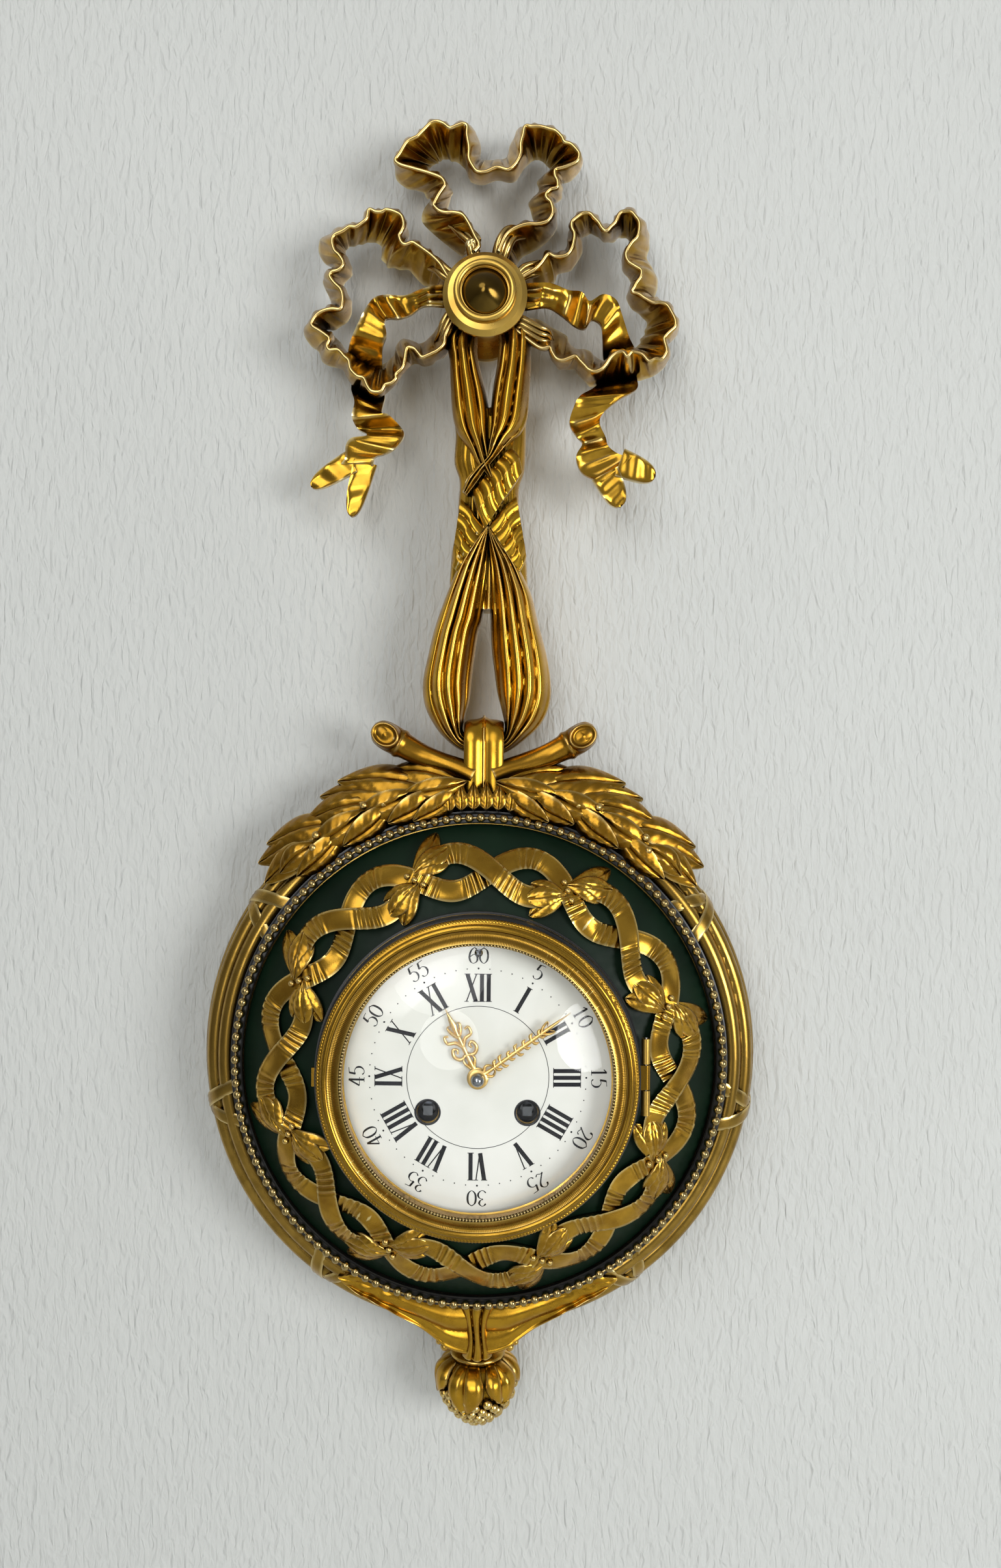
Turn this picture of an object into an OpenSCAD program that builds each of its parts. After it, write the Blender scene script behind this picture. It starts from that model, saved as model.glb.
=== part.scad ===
// Wall clock: a round case hung from a ribbon bow by a draped ribbon, with a
// two-train striking movement and a short pendulum inside.
// Millimetres. Up is +Z, the front faces -Y, the wall is the plane Y = 0 and
// the origin is the middle of the hanging eye on the wall.

/* [Bow] */
// Drop from the hanging eye to the middle of the dial
drop = 350; // [346:1:354]
// Radius of the eye that takes the wall hook
hook_hole_radius = 4; // [3:0.5:5]
// Width of the cast ribbon, from its back edge to its front edge
ribbon_width = 20; // [17:0.5:21]
// Thickness of the cast ribbon
ribbon_thickness = 2; // [1.6:0.1:2.6]
// Radius of the turned disc over the knot
boss_radius = 19.4; // [18.5:0.1:21]

/* [Case] */
// Width of the reeded frame outside the sheet case
frame_width = 17.2; // [16:0.1:18.5]
// Outer radius of the sheet case behind the frame
shell_radius = 112; // [111:0.5:113]
// Sheet thickness of the case
shell_wall = 1.2; // [1:0.1:1.6]
// Depth of the sheet case from the wall
shell_depth = 36; // [34:0.5:37]
// Number of beads in the bead ring
bead_count = 132; // [120:2:136]
// Radius of one bead
bead_radius = 2; // [1.6:0.1:2.2]
// Thickness of the domed panel
panel_wall = 1.5; // [1.2:0.1:1.8]

/* [Dial] */
// Radius of the enamel dial
dial_radius = 61; // [60:0.5:62]
// Width of the ring of the bezel outside the dial
bezel_width = 8.5; // [8:0.1:9.5]
// Width of the dial's edge that the bezel covers
dial_cover = 3.5; // [3:0.1:4.5]
// Thickness of the domed glass
glass_thickness = 1.6; // [1.2:0.1:2]
// Height of the glass dome
glass_rise = 13.5; // [12:0.5:15]
// Length of the hour hand
hour_hand_length = 32.5; // [30:0.5:36]
// Length of the minute hand
minute_hand_length = 48.5; // [44:0.5:50]

/* [Movement] */
// Radius of the round plates
plate_radius = 47; // [47:0.5:50]
// Thickness of each plate
plate_thickness = 2.5; // [2:0.1:3]
// Space between the plates
plate_gap = 30; // [30:0.5:32]
// Distance from the wall to the back plate
movement_back = 27; // [26.5:0.5:29]
// Side of the winding square
winding_square = 4; // [3.6:0.1:4.2]
// Radius of the pendulum bob
bob_radius = 14; // [12:0.5:15]
// Radius of the bell
bell_radius = 29; // [27:0.5:29.5]

/* [Hidden] */
$fn = 64;
fit = 0.3;
running = 0.05;
gilt = "#b98a2e";
dark_bronze = "#4a3a20";
brass = "#b5994e";
steel = "#8d9196";
green = "#16291d";
black = "#17150f";
white = "#efece4";
clear = "#cfd8d8";

hub_radius = 11.5;
hub_length = 36;
ribbon_front = 35;
eye_depth = 9;
stud_radius = 3;
stud_length = 10;

reed_radius = 4.3;
reed_count = 5;
reed_middle = 20;
reed_inner = shell_radius + fit;
frame_radius = reed_inner + frame_width;
reed_arc = frame_radius - reed_inner - reed_radius;
reed_rise = 13.4;

rim_back = shell_depth + fit;
rim_height = 6;
rim_top = rim_back + rim_height;
rim_inner = shell_radius - 4.1;
rim_outer = shell_radius + 1.4;
bead_circle = (rim_inner + rim_outer) / 2;
bead_strip = 1.3;

back_sheet = 4;
door_opening = 62;
door_radius = door_opening + 4;
strap_screw = door_radius + 6;
strap_end = strap_screw + 4.8;
door_sheet = 1.2;
door_axis = [-door_radius - 2.3, back_sheet - 1.8];
knuckle_radius = 1.6;
pin_radius = 0.7;

back_plate_front = movement_back + plate_thickness;
front_plate_back = back_plate_front + plate_gap;
front_plate_front = front_plate_back + plate_thickness;
motion_space = 5.4;
pan_sheet = 1.2;
pan_back = front_plate_front + motion_space;
pan_front = pan_back + pan_sheet;
pan_flange = dial_radius + 9.5;
pan_tube = dial_radius + 0.2;
pan_tube_wall = 1.3;
pan_tube_length = 11;
dial_back = pan_front + 1.4;
dial_edge = 1.4;
dial_dome = 1.6;
bezel_back = pan_front + fit;
bezel_outer = dial_radius + bezel_width;
bezel_opening = dial_radius - dial_cover;
panel_hole = pan_tube + pan_tube_wall + 0.4;
panel_outer = rim_inner - 0.4;
panel_low = rim_top - 2.2;
panel_high = pan_back - fit - 1.1;

hinge_x = pan_flange + 1.9;
hinge_z = bezel_back + 1.2;
hinge_length = 33;
hinge_gap = 0.25;

barrel_x = 21.3;
barrel_y = -15;
second_at = [17.07, 5.72];
third_at = [-12.64, 11.59];
escape_at = [0, 22];
anchor_at = [0, 37];
minute_at = [0, 16.8];
regulator_at = [0, 53];
strike_second_at = [-0.287, -17.4];
pin_wheel_at = [-0.287, -33];
fly_at = [-9.534, -37.314];
hammer_at = [12, -40];
click_at = [29.7, -7.9];
pillars_at = [[26, 33], [-26, 33], [41, 3], [-41, 3], [5.5, -43.8]];
feet_at = [[38.5, 14], [-38.5, 14], [20.5, -36], [-20.5, -36]];
pivot_radius = 0.8;
arbor_radius = 0.9;
centre_radius = 1;
winding_radius = 3;
bell_at = [0, -8];
bell_post_at = [30, -34];
pendulum_depth = 22;

great_z = back_plate_front + 5.5;
centre_wheel_z = back_plate_front + 2.8;
third_wheel_z = back_plate_front + 0.7;
escape_z = back_plate_front + 9.5;
second_wheel_z = front_plate_back - 1.7;
strike_second_z = front_plate_back - 3.9;
strike_great_z = front_plate_back - 6.5;
pin_wheel_z = back_plate_front + 14.5;
drum_length = plate_gap - 12;
motion_z = front_plate_front + 0.7;
hour_wheel_z = front_plate_front + 2.9;
hour_hand_z = dial_back + 4;
minute_hand_z = hour_hand_z + 2;
hand_sheet = 1;
show_hour = 334.5;
show_minute = 54;

// Front view placing: x right, y up, z out from the wall.
module face() rotate([90, 0, 0]) children();
module on_case() face() translate([0, -drop, 0]) children();
module at(p, z = 0) translate([p[0], p[1], z]) children();
// A turned shape about an upright line in the front view.
module upright() rotate([-90, 0, 0]) children();

// Smooth curve through hand-placed points: four-point spline, cut into steps.
function spline(a, b, c, d, t) =
    0.5 * (2 * b + (c - a) * t + (2 * a - 5 * b + 4 * c - d) * t * t
    + (3 * b - a - 3 * c + d) * t * t * t);
function smooth(p, steps) = let (n = len(p))
    [for (i = [0 : n - 2], k = [0 : steps - 1])
        spline(p[max(i - 1, 0)], p[i], p[i + 1], p[min(i + 2, n - 1)], k / steps),
     p[n - 1]];
function unit(v) = v / max(norm(v), 0.0001);
function ahead(p, i) = unit(p[min(i + 1, len(p) - 1)] - p[max(i - 1, 0)]);
function side(t) = [-t[1], t[0]];

// A closed skin over a row of rings that all have the same number of points.
module skin(rings, loop = false) {
    n = len(rings);
    m = len(rings[0]);
    last = loop ? n - 1 : n - 2;
    walls = [for (i = [0 : last], k = [0 : m - 1])
        let (j = (i + 1) % n, q = (k + 1) % m)
        each [[i * m + k, j * m + q, i * m + q], [i * m + k, j * m + k, j * m + q]]];
    ends = loop ? [] : [[for (k = [0 : m - 1]) k], [for (k = [m - 1 : -1 : 0]) (n - 1) * m + k]];
    polyhedron(points = [for (r = rings, p = r) p], faces = concat(walls, ends), convexity = 8);
}

// Ribbon standing on its edge: the path is its front edge in the front view.
function edge_width(p) = ribbon_width * min(1, 0.5 + 0.5 * (norm(p) - 13) / 14);
module standing_ribbon(path, steps) {
    p = smooth(path, steps);
    h = ribbon_thickness / 2;
    skin([for (i = [0 : len(p) - 1])
        let (s = side(ahead(p, i)), a = p[i], w = edge_width(a), f = ribbon_front - 1)
        [[a[0] + s[0] * h, a[1] + s[1] * h, f], [a[0] - s[0] * h, a[1] - s[1] * h, f],
         [a[0] - s[0] * h, a[1] - s[1] * h, f - w], [a[0] + s[0] * h, a[1] + s[1] * h, f - w]]]);
}

// Ribbon lying flat to the front, crimped across: the path is its middle.
module lying_ribbon(path, steps, width, crimps, depth) {
    p = smooth(path, steps);
    n = len(p) - 1;
    h = ribbon_thickness / 2;
    skin([for (i = [0 : n])
        let (s = side(ahead(p, i)), a = p[i], w = min(width, 9 + 1.5 * i) / 2,
            z = depth + 1.8 * sin(360 * crimps * i / n))
        [[a[0] + s[0] * w, a[1] + s[1] * w, z + h], [a[0] - s[0] * w, a[1] - s[1] * w, z + h],
         [a[0] - s[0] * w, a[1] - s[1] * w, z - h], [a[0] + s[0] * w, a[1] + s[1] * w, z - h]]]);
}

// Raised fold where a ribbon gathers under the boss.
module fold(angle, depth, reach, radius) {
    c = [cos(angle), sin(angle)];
    hull() {
        at(c * 14.2, depth) sphere(r = radius, $fn = 5);
        at(c * reach, depth + 1) sphere(r = radius * 0.6, $fn = 4);
    }
}

// One prong of a swallow tail.
module prong(from, to, depth) {
    h = ribbon_thickness / 2;
    hull() {
        at(from, depth) cylinder(r = 5, h = 2 * h, center = true, $fn = 10);
        at(to, depth) cylinder(r = 1.2, h = 2 * h, center = true, $fn = 8);
    }
}

module hanging_plate() color(brass) face() difference() {
    union() {
        cylinder(r = 17, h = 3);
        cylinder(r = hub_radius, h = hub_length);
    }
    translate([0, 0, -1]) cylinder(r = hook_hole_radius, h = eye_depth + 1);
    translate([0, 0, hub_length - stud_length]) cylinder(r = stud_radius + running, h = stud_length + 1);
}

top_path = [[-4, 14], [-5, 23], [-9, 33], [-13, 38], [-19, 39], [-24, 43], [-23, 47], [-18, 52],
    [-21, 56], [-28, 59], [-40, 61], [-39, 68], [-32, 73], [-29, 78], [-23, 81], [-17, 78],
    [-10, 80], [-8, 77], [-8, 70], [-7, 63], [-4, 60], [1, 59], [5, 61], [8, 60], [12, 61], [16, 67],
    [15, 70], [17.5, 75], [25, 80], [32, 78], [36, 73], [42, 69], [42, 63], [33, 59], [32, 56], [34, 51],
    [28, 48], [27, 45], [31, 42], [29, 37], [22, 34], [14, 31], [8, 25], [5, 14]];

module ribbon_top_loop() color(gilt) face() union() {
    standing_ribbon(top_path, 2);
    for (a = [97, 108]) fold(a, 27 - (a - 96) / 4, 27, 2.4);
    for (a = [66, 77]) fold(a, 24 + (a - 64) / 4, 26, 2.4);
}

left_path = [[-13, 5], [-19, 10], [-23, 17], [-29, 22], [-34, 25], [-38, 23], [-40, 28], [-36, 32],
    [-38, 37], [-46, 40], [-53, 39], [-57, 35], [-62, 33], [-66, 32], [-71, 26], [-70, 21],
    [-65, 17], [-66, 13], [-72, 10], [-70, 6], [-66, 0], [-67, -5], [-75, -6], [-79, -11],
    [-79, -16], [-74, -18], [-72, -24], [-64, -26], [-61, -34], [-55, -36], [-48, -43],
    [-42, -40], [-41, -35], [-37, -33], [-34, -27], [-28, -27], [-22, -24], [-17, -15], [-13, -8]];
left_tail = [[-13.5, -1], [-21, -1], [-31, -2], [-38, -4], [-46, -6], [-51, -11], [-55, -19],
    [-57, -28], [-57, -34], [-55, -40], [-54, -48], [-52, -54], [-46, -58], [-46, -64],
    [-52, -69], [-57, -74], [-59, -82]];

module ribbon_left_loop() color(gilt) face() union() {
    standing_ribbon(left_path, 2);
    lying_ribbon(left_tail, 2, 16, 8, 26);
    prong([-60, -81], [-80, -86], 26);
    prong([-59, -82], [-62, -100], 26);
    for (a = [152, 162]) fold(a, 25, 26, 2.3);
    for (a = [178, 188]) fold(a, 27, 27, 2);
    fold(211, 25, 25, 2.3);
}

right_path = [[13, 5], [20, 12], [27, 19], [33, 19], [36, 24], [40, 30], [39, 35], [43, 38], [48, 40],
    [54, 33], [59, 34], [64, 41], [70, 38], [72, 30], [65, 24], [68, 18], [72, 14], [68, 8],
    [68, 4], [75, -1], [84, -2], [87, -9], [87, -15], [83, -20], [85, -28], [75, -29],
    [68, -24], [62, -25], [56, -28], [50, -34], [46, -31], [44, -27], [36, -29], [31, -24],
    [24, -15], [19, -11], [13, -8]];
right_tail = [[13.5, -1], [20, -3], [30, -1], [42, -4], [50, -7], [58, -10], [64, -18], [65, -27],
    [63, -35], [58, -43], [49, -50], [48, -58], [51, -66], [50, -74], [56, -81]];

module ribbon_right_loop() color(gilt) face() union() {
    standing_ribbon(right_path, 2);
    lying_ribbon(right_tail, 2, 16, 7, 26);
    prong([56, -80], [63, -94], 26);
    prong([57, -79], [78, -81], 26);
    for (a = [18, 28]) fold(a, 25, 26, 2.3);
    for (a = [-8, 2]) fold(a, 27, 27, 2);
    fold(-31, 25, 25, 2.3);
}

module boss_disc() color(gilt) face() translate([0, 0, hub_length + fit]) {
    rotate_extrude() difference() {
        union() {
            polygon([[0, 0], [boss_radius - 0.6, 0], [boss_radius, 0.8], [boss_radius, 2.2],
                [boss_radius - 2.4, 4.2], [boss_radius - 5, 4.6], [boss_radius - 5, 6.6], [0, 6.6]]);
            translate([boss_radius - 6.6, 6.6]) circle(r = 1.6);
        }
        translate([-1, 5.6]) square([boss_radius - 7.4, 8]);
    }
    translate([0, 0, fit - stud_length]) cylinder(r = stud_radius, h = stud_length);
}

module boss_cap() color(dark_bronze) face() translate([0, 0, hub_length + fit + 5.7]) {
    cap = boss_radius - 8.8;
    rise = 6;
    ball = (cap * cap + rise * rise) / (2 * rise);
    rotate_extrude() intersection() {
        translate([0, rise - ball]) circle(r = ball);
        square([cap, rise]);
    }
}

// Drape: two fluted strands from the boss, crossed below it, looping through the bail.
drape_stretch = (drop - frame_radius) / 220.5;
drape_depth = 26;
loop_low = -203.2 * drape_stretch;
strand = [[5, -11.1, 4.5, 6], [9.5, -22, 7, 8], [8, -45, 7.5, 9], [6.5, -66, 8.5, 10], [5.5, -85, 8.5, 11],
    [5.5, -105, 8.8, 11], [6.5, -122, 9.5, 11.5], [9.5, -138, 10, 12], [13.5, -156, 11.5, 12],
    [16.5, -171, 12, 12], [17.8, -184, 11, 11], [17.4, -192, 8.5, 9], [14.5, -200, 5.2, 6]];

function strand_points() = smooth(concat(
    [for (q = strand) [q[0], q[1] * drape_stretch, q[2], q[3]]],
    [[10, loop_low, 4.5, 5], [-1, loop_low, 4.5, 5]]), 1);

module drape_strand() {
    p = strand_points();
    xy = [for (q = p) [q[0], q[1]]];
    skin([for (i = [0 : len(p) - 1])
        let (s = side(ahead(xy, i)), q = p[i])
        [for (k = [0 : 13])
            let (a = k * 360 / 14, f = 1 + 0.06 * cos(a * 7))
            [q[0] + s[0] * q[2] * f * cos(a), q[1] + s[1] * q[2] * f * cos(a),
             drape_depth + q[3] * f * sin(a)]]]);
}

module drape_wrap(y, way) for (k = [0, 1]) hull() {
    at([-14 * way, y * drape_stretch], drape_depth + 4) sphere(r = 2, $fn = 6);
    at([-4 * way + 8 * k * way, (y - 9 - 5 * k) * drape_stretch], drape_depth + 11) sphere(r = 2.2, $fn = 6);
}

module hanging_drape() color(gilt) face() union() {
    drape_strand();
    mirror([1, 0, 0]) drape_strand();
    for (y = [-70, -90]) {
        drape_wrap(y, 1);
        drape_wrap(y, -1);
    }
}

bail_inner = 7.2;
bail_strap = 3.4;
bail_round = 4.3;
bail_ridge = 1.3;
bail_y = loop_low + 4.5 + fit - bail_inner;
// Strap of two broad rounds with a thin ridge between them
module strap_section() intersection() {
    union() {
        translate([bail_inner, -bail_round - 4.7]) square([bail_strap, 2 * bail_round + 9.4]);
        for (k = [-1, 1]) translate([bail_inner + 1.6, k * 5]) circle(r = bail_round);
        translate([bail_inner + bail_strap + 0.6, 0]) circle(r = bail_ridge);
    }
    translate([bail_inner, -15]) square([20, 30]);
}

module bail() color(gilt) face() translate([0, bail_y, drape_depth]) {
    front_end = bail_y + drop - (frame_radius - 8);
    back_end = bail_y + drop - frame_radius - fit;
    rotate([0, 90, 0]) rotate_extrude(angle = 180) strap_section();
    translate([0, -front_end, 0])
        multmatrix([[0, 1, 0, 0], [0, 0, 1, 0], [1, 0, 0, 0]]) linear_extrude(front_end) strap_section();
    translate([0, -back_end, 0])
        multmatrix([[0, -1, 0, 0], [0, 0, 1, 0], [-1, 0, 0, 0]]) linear_extrude(back_end) strap_section();
}

// The space that the frame, rim and case take, with a small clearance.
module frame_space() {
    rotate_extrude($fn = 48) translate([reed_inner, reed_middle])
        scale([1, (reed_rise + reed_radius + 0.2) / (frame_radius - reed_inner)])
            circle(r = frame_radius - reed_inner + 0.9, $fn = 20);
    cylinder(r = rim_outer + 0.7, h = rim_top + bead_radius * 2 + 2, $fn = 48);
}

// A laurel leaf that springs from the rib, at an angle round the rim.
laurel_rib = frame_radius - 3;
laurel_depth = 35;
module leaf(angle, length, width, spread, lift) {
    at([laurel_rib * cos(angle), laurel_rib * sin(angle)], laurel_depth) rotate(angle + 90 + spread) hull() {
        sphere(r = 2.4, $fn = 6);
        translate([length * 0.45, 0, lift]) scale([1.5, 1, 0.45]) sphere(r = width / 2, $fn = 6);
        translate([length, 0, lift * 0.7]) sphere(r = 0.7, $fn = 4);
    }
}

module laurel_branch() difference() {
    union() {
        // Cut stem that springs from the foot of the bail
        stem = [[-11, frame_radius + 3.6], [-20, frame_radius + 4.2], [-30, frame_radius + 9],
            [-42, frame_radius + 17]];
        for (i = [0 : 2]) hull() {
            at(stem[i], 28 + 0.7 * i) sphere(r = 4 + 0.4 * i, $fn = 8);
            at(stem[i + 1], 28.7 + 0.7 * i) sphere(r = 4.4 + 0.4 * i, $fn = 8);
        }
        // Knot where the stem was cut
        at(stem[3], 31) scale([1, 1, 0.8]) sphere(r = 7, $fn = 10);
        // Rib that the leaves spring from
        for (i = [0 : 3]) hull() for (k = [i, i + 1])
            at([laurel_rib * cos(94 + 9 * k), laurel_rib * sin(94 + 9 * k)], laurel_depth)
                sphere(r = 3.2, $fn = 7);
        hull() {
            at(stem[0], 28) sphere(r = 4, $fn = 8);
            at([laurel_rib * cos(96), laurel_rib * sin(96)], laurel_depth) sphere(r = 3.2, $fn = 7);
        }
        for (i = [0 : 3]) {
            leaf(95 + 10 * i, 31, 14, -23, -4);
            leaf(94 + 10.5 * i, 28, 13, 1, 3);
            leaf(97 + 10 * i, 26, 12, 23, 4);
        }
    }
    frame_space();
    translate([-10, 0, 0]) cube([20, 2 * frame_radius, 80]);
}

module left_laurel_branch() color(gilt) on_case() laurel_branch();
module right_laurel_branch() color(gilt) on_case() mirror([1, 0, 0]) laurel_branch();

module reed_section(more) {
    for (i = [0 : reed_count - 1]) {
        a = -70 + 140 * i / (reed_count - 1);
        translate([reed_inner + reed_arc * cos(a), reed_middle + reed_rise * sin(a)])
            circle(r = reed_radius + more);
    }
    polygon([[reed_inner, reed_middle - reed_rise], [reed_inner + reed_arc * 0.6, reed_middle - reed_rise],
        [reed_inner + reed_arc, reed_middle], [reed_inner + reed_arc * 0.6, reed_middle + reed_rise],
        [reed_inner, reed_middle + reed_rise]]);
}

module reeded_frame() color(gilt) on_case() rotate_extrude() reed_section(0);

// Ribbon bindings that clasp the reeds
binding_sheet = 0.8;
binding_angle = 7;
module reed_bindings() color(gilt) on_case()
    for (a = [34, -11, -55, 146, 191, 235]) rotate(a - binding_angle / 2) rotate_extrude(angle = binding_angle)
        intersection() {
            translate([reed_inner, reed_middle]) difference() {
                circle(r = frame_radius - reed_inner + fit + binding_sheet);
                circle(r = frame_radius - reed_inner + fit);
            }
            translate([reed_inner, reed_middle - reed_rise - 2.2]) square([40, 2 * reed_rise + 4.4]);
        }

// Leafy bracket below the case: leaves spread from a neck over the reeds.
module bracket_leaf(tip, mid, depth, width) {
    hull() {
        at([0, -frame_radius - 10], 22) sphere(r = 5, $fn = 8);
        at(mid, depth) scale([1, 1, 0.5]) sphere(r = width / 2, $fn = 8);
    }
    hull() {
        at(mid, depth) scale([1, 1, 0.5]) sphere(r = width / 2, $fn = 8);
        at(tip, depth + 1) sphere(r = 1.4, $fn = 6);
    }
}

module bottom_bracket() color(gilt) on_case() difference() {
    union() {
        for (s = [-1, 1]) {
            bracket_leaf([63 * s, 22.5 - frame_radius], [36 * s, 11 - frame_radius], 33, 17);
            bracket_leaf([46 * s, 17 - frame_radius], [27 * s, 7 - frame_radius], 36, 17);
            bracket_leaf([20 * s, 15 - frame_radius], [13 * s, 4 - frame_radius], 40, 16);
        }
        bracket_leaf([0, 16 - frame_radius], [0, 3 - frame_radius], 42, 16);
        hull() {
            at([-26, -frame_radius + 1], 20) sphere(r = 5, $fn = 8);
            at([26, -frame_radius + 1], 20) sphere(r = 5, $fn = 8);
            at([0, -frame_radius - 8], 21) sphere(r = 8, $fn = 10);
        }
        // Scrolled ends on both sides of the neck
        for (s = [-1, 1]) at([14 * s, -frame_radius - 8], 27) cylinder(r = 4.6, h = 6, $fn = 12);
        at([0, -frame_radius - 17.5], 21) upright() cylinder(r1 = 12.5, r2 = 9, h = 9, $fn = 20);
    }
    frame_space();
}

// Berries set round a turned core by the golden angle.
module berry_finial() color(gilt) on_case() at([0, -frame_radius - 17.8], 21) upright() {
    rows = 24;
    union() {
        translate([0, 0, -2.2]) cylinder(r1 = 15, r2 = 13, h = 2.2, $fn = 20);
        hull() {
            translate([0, 0, -6]) cylinder(r = 13, h = 4.5, $fn = 16);
            translate([0, 0, -14]) cylinder(r = 11, h = 2, $fn = 16);
            translate([0, 0, -20]) cylinder(r = 4, h = 2, $fn = 12);
        }
        for (i = [0 : rows - 1]) {
            down = 5 + 17 * i / (rows - 1);
            wide = 15 * sqrt(max(0.02, 1 - pow((down - 6) / 17.5, 2)));
            hull() rotate([0, 0, i * 137.5]) translate([wide, 0, -down]) sphere(r = 3.9, $fn = 6);
        }
    }
}

module rim_moulding() color(black) on_case() rotate_extrude() difference() {
    translate([rim_inner, rim_back]) square([rim_outer - rim_inner, rim_height]);
    translate([rim_outer, rim_top]) circle(r = 1.6);
}

module bead_ring() color(dark_bronze) on_case() {
    wide = min(bead_radius + 0.3, (rim_outer - rim_inner) / 2 - 0.3);
    rotate_extrude() translate([bead_circle - wide, rim_top + 0.1]) square([2 * wide - 0.4, bead_strip]);
    for (i = [0 : bead_count - 1]) rotate(i * 360 / bead_count)
        translate([bead_circle - 0.2, 0, rim_top + bead_radius]) sphere(r = bead_radius - 0.15);
}

// The panel is a band of a ball shape, from its hole down to the rim.
panel_start = 12;
panel_chord = atan2(panel_high - panel_low, panel_outer - panel_hole);
panel_ball = norm([panel_high - panel_low, panel_outer - panel_hole]) / (2 * sin(panel_chord - panel_start));
panel_ball_r = panel_hole - panel_ball * sin(panel_start);
panel_ball_z = panel_high - panel_ball * cos(panel_start);
function panel_z(r) = panel_ball_z + sqrt(max(0, pow(panel_ball, 2) - pow(r - panel_ball_r, 2)));

module green_panel() color(green) on_case() rotate_extrude() {
    intersection() {
        difference() {
            translate([panel_ball_r, panel_ball_z]) circle(r = panel_ball);
            translate([panel_ball_r, panel_ball_z]) circle(r = panel_ball - panel_wall);
        }
        translate([panel_hole, panel_low - 1]) square([panel_outer - panel_hole, panel_high]);
    }
    translate([panel_outer - panel_wall, shell_depth + fit])
        square([panel_wall, panel_low + 0.4 - shell_depth - fit]);
}

// Two ribbons that wind across each other round the panel, with leaves between.
wreath_middle = (panel_hole + panel_outer) / 2 + 2.5;
wreath_swing = 8;
wreath_waves = 8;
wreath_phase = 150;
wreath_steps = 80;
function wreath_wave(a) = a * wreath_waves - wreath_phase;
module wreath_ribbon(way) skin([for (i = [0 : wreath_steps - 1])
    let (a = 360 * i / wreath_steps, c = [cos(a), sin(a)], w = 3.2,
        r = wreath_middle + way * wreath_swing * sin(wreath_wave(a)),
        low = 0.45, lift = 2.2 + way * 0.8 * cos(wreath_wave(a)))
    concat([for (e = [-w, w]) [(r + e) * c[0], (r + e) * c[1], panel_z(r + e) + lift]],
        [for (e = [w, -w]) [(r + e) * c[0], (r + e) * c[1], panel_z(r + e) + low]])], true);

// Fan of three leaves that lies on the slope of the panel.
fan_length = 19;
fan_outline = [[0, -1.6], [7, -5.5], [12.5, -7.5], [15.5, -5], [14, -2.6], [19, 0], [14, 2.6], [15.5, 5],
    [12.5, 7.5], [7, 5.5], [0, 1.6]];
module wreath_fan(angle, radius, turn) {
    slope = atan2(panel_z(radius + 3) - panel_z(radius - 3), 6);
    rotate(angle) translate([radius, 0, panel_z(radius) + 0.5]) rotate([0, -slope, 0]) rotate(turn)
        translate([-fan_length / 2, 0, 0]) linear_extrude(2.2) polygon(fan_outline);
}

module ribbon_wreath() color(gilt) on_case() union() {
    wreath_ribbon(1);
    wreath_ribbon(-1);
    for (k = [0 : wreath_waves - 1]) {
        crossing = (wreath_phase + 360 * k) / wreath_waves;
        wreath_fan(crossing - 5.3, wreath_middle + 7, -58);
        wreath_fan(crossing + 6, wreath_middle - 6.5, 122);
    }
}

module case_shell() color(brass) on_case() difference() {
    union() {
        rotate_extrude() union() {
            translate([shell_radius - shell_wall, 0]) square([shell_wall, shell_depth]);
            translate([shell_radius - 7, shell_depth - shell_wall]) square([7, shell_wall]);
            translate([door_opening, back_sheet]) square([shell_radius - 0.5 - door_opening, shell_wall]);
        }
        for (y = [-12, 4.2]) translate([door_axis[0], y, door_axis[1]]) {
            rotate([-90, 0, 0]) cylinder(r = knuckle_radius, h = 7.8);
            translate([-knuckle_radius, 0, 0]) cube([knuckle_radius, 7.8, back_sheet - door_axis[1] + 0.5]);
        }
    }
    translate([door_axis[0], -20, door_axis[1]]) rotate([-90, 0, 0]) cylinder(r = pin_radius, h = 40);
    for (a = [25, 155]) rotate(a) translate([strap_screw, 0, 0]) cylinder(r = 1.25, h = 10);
}

module back_door() color(brass) on_case() difference() {
    union() {
        translate([0, 0, back_sheet - 0.4 - door_sheet]) cylinder(r = door_radius, h = door_sheet);
        translate([door_axis[0], -4, door_axis[1]]) rotate([-90, 0, 0]) cylinder(r = knuckle_radius, h = 8);
        translate([door_axis[0], -4, back_sheet - 0.4 - door_sheet]) cube([6, 8, door_sheet]);
        translate([door_radius - 7, 0, back_sheet - 0.4 - door_sheet - 1.6]) cylinder(r1 = 3, r2 = 2, h = 1.6);
    }
    translate([door_axis[0], -20, door_axis[1]]) rotate([-90, 0, 0]) cylinder(r = pin_radius + running, h = 40);
    // Sound holes
    for (i = [0 : 11]) rotate(i * 30) translate([34, 0, 0]) cylinder(r = 4, h = 20, center = true);
}

module back_door_hinge_pin() color(steel) on_case()
    translate([door_axis[0], -12.6, door_axis[1]]) rotate([-90, 0, 0]) cylinder(r = pin_radius - 0.02, h = 25.2);

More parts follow.
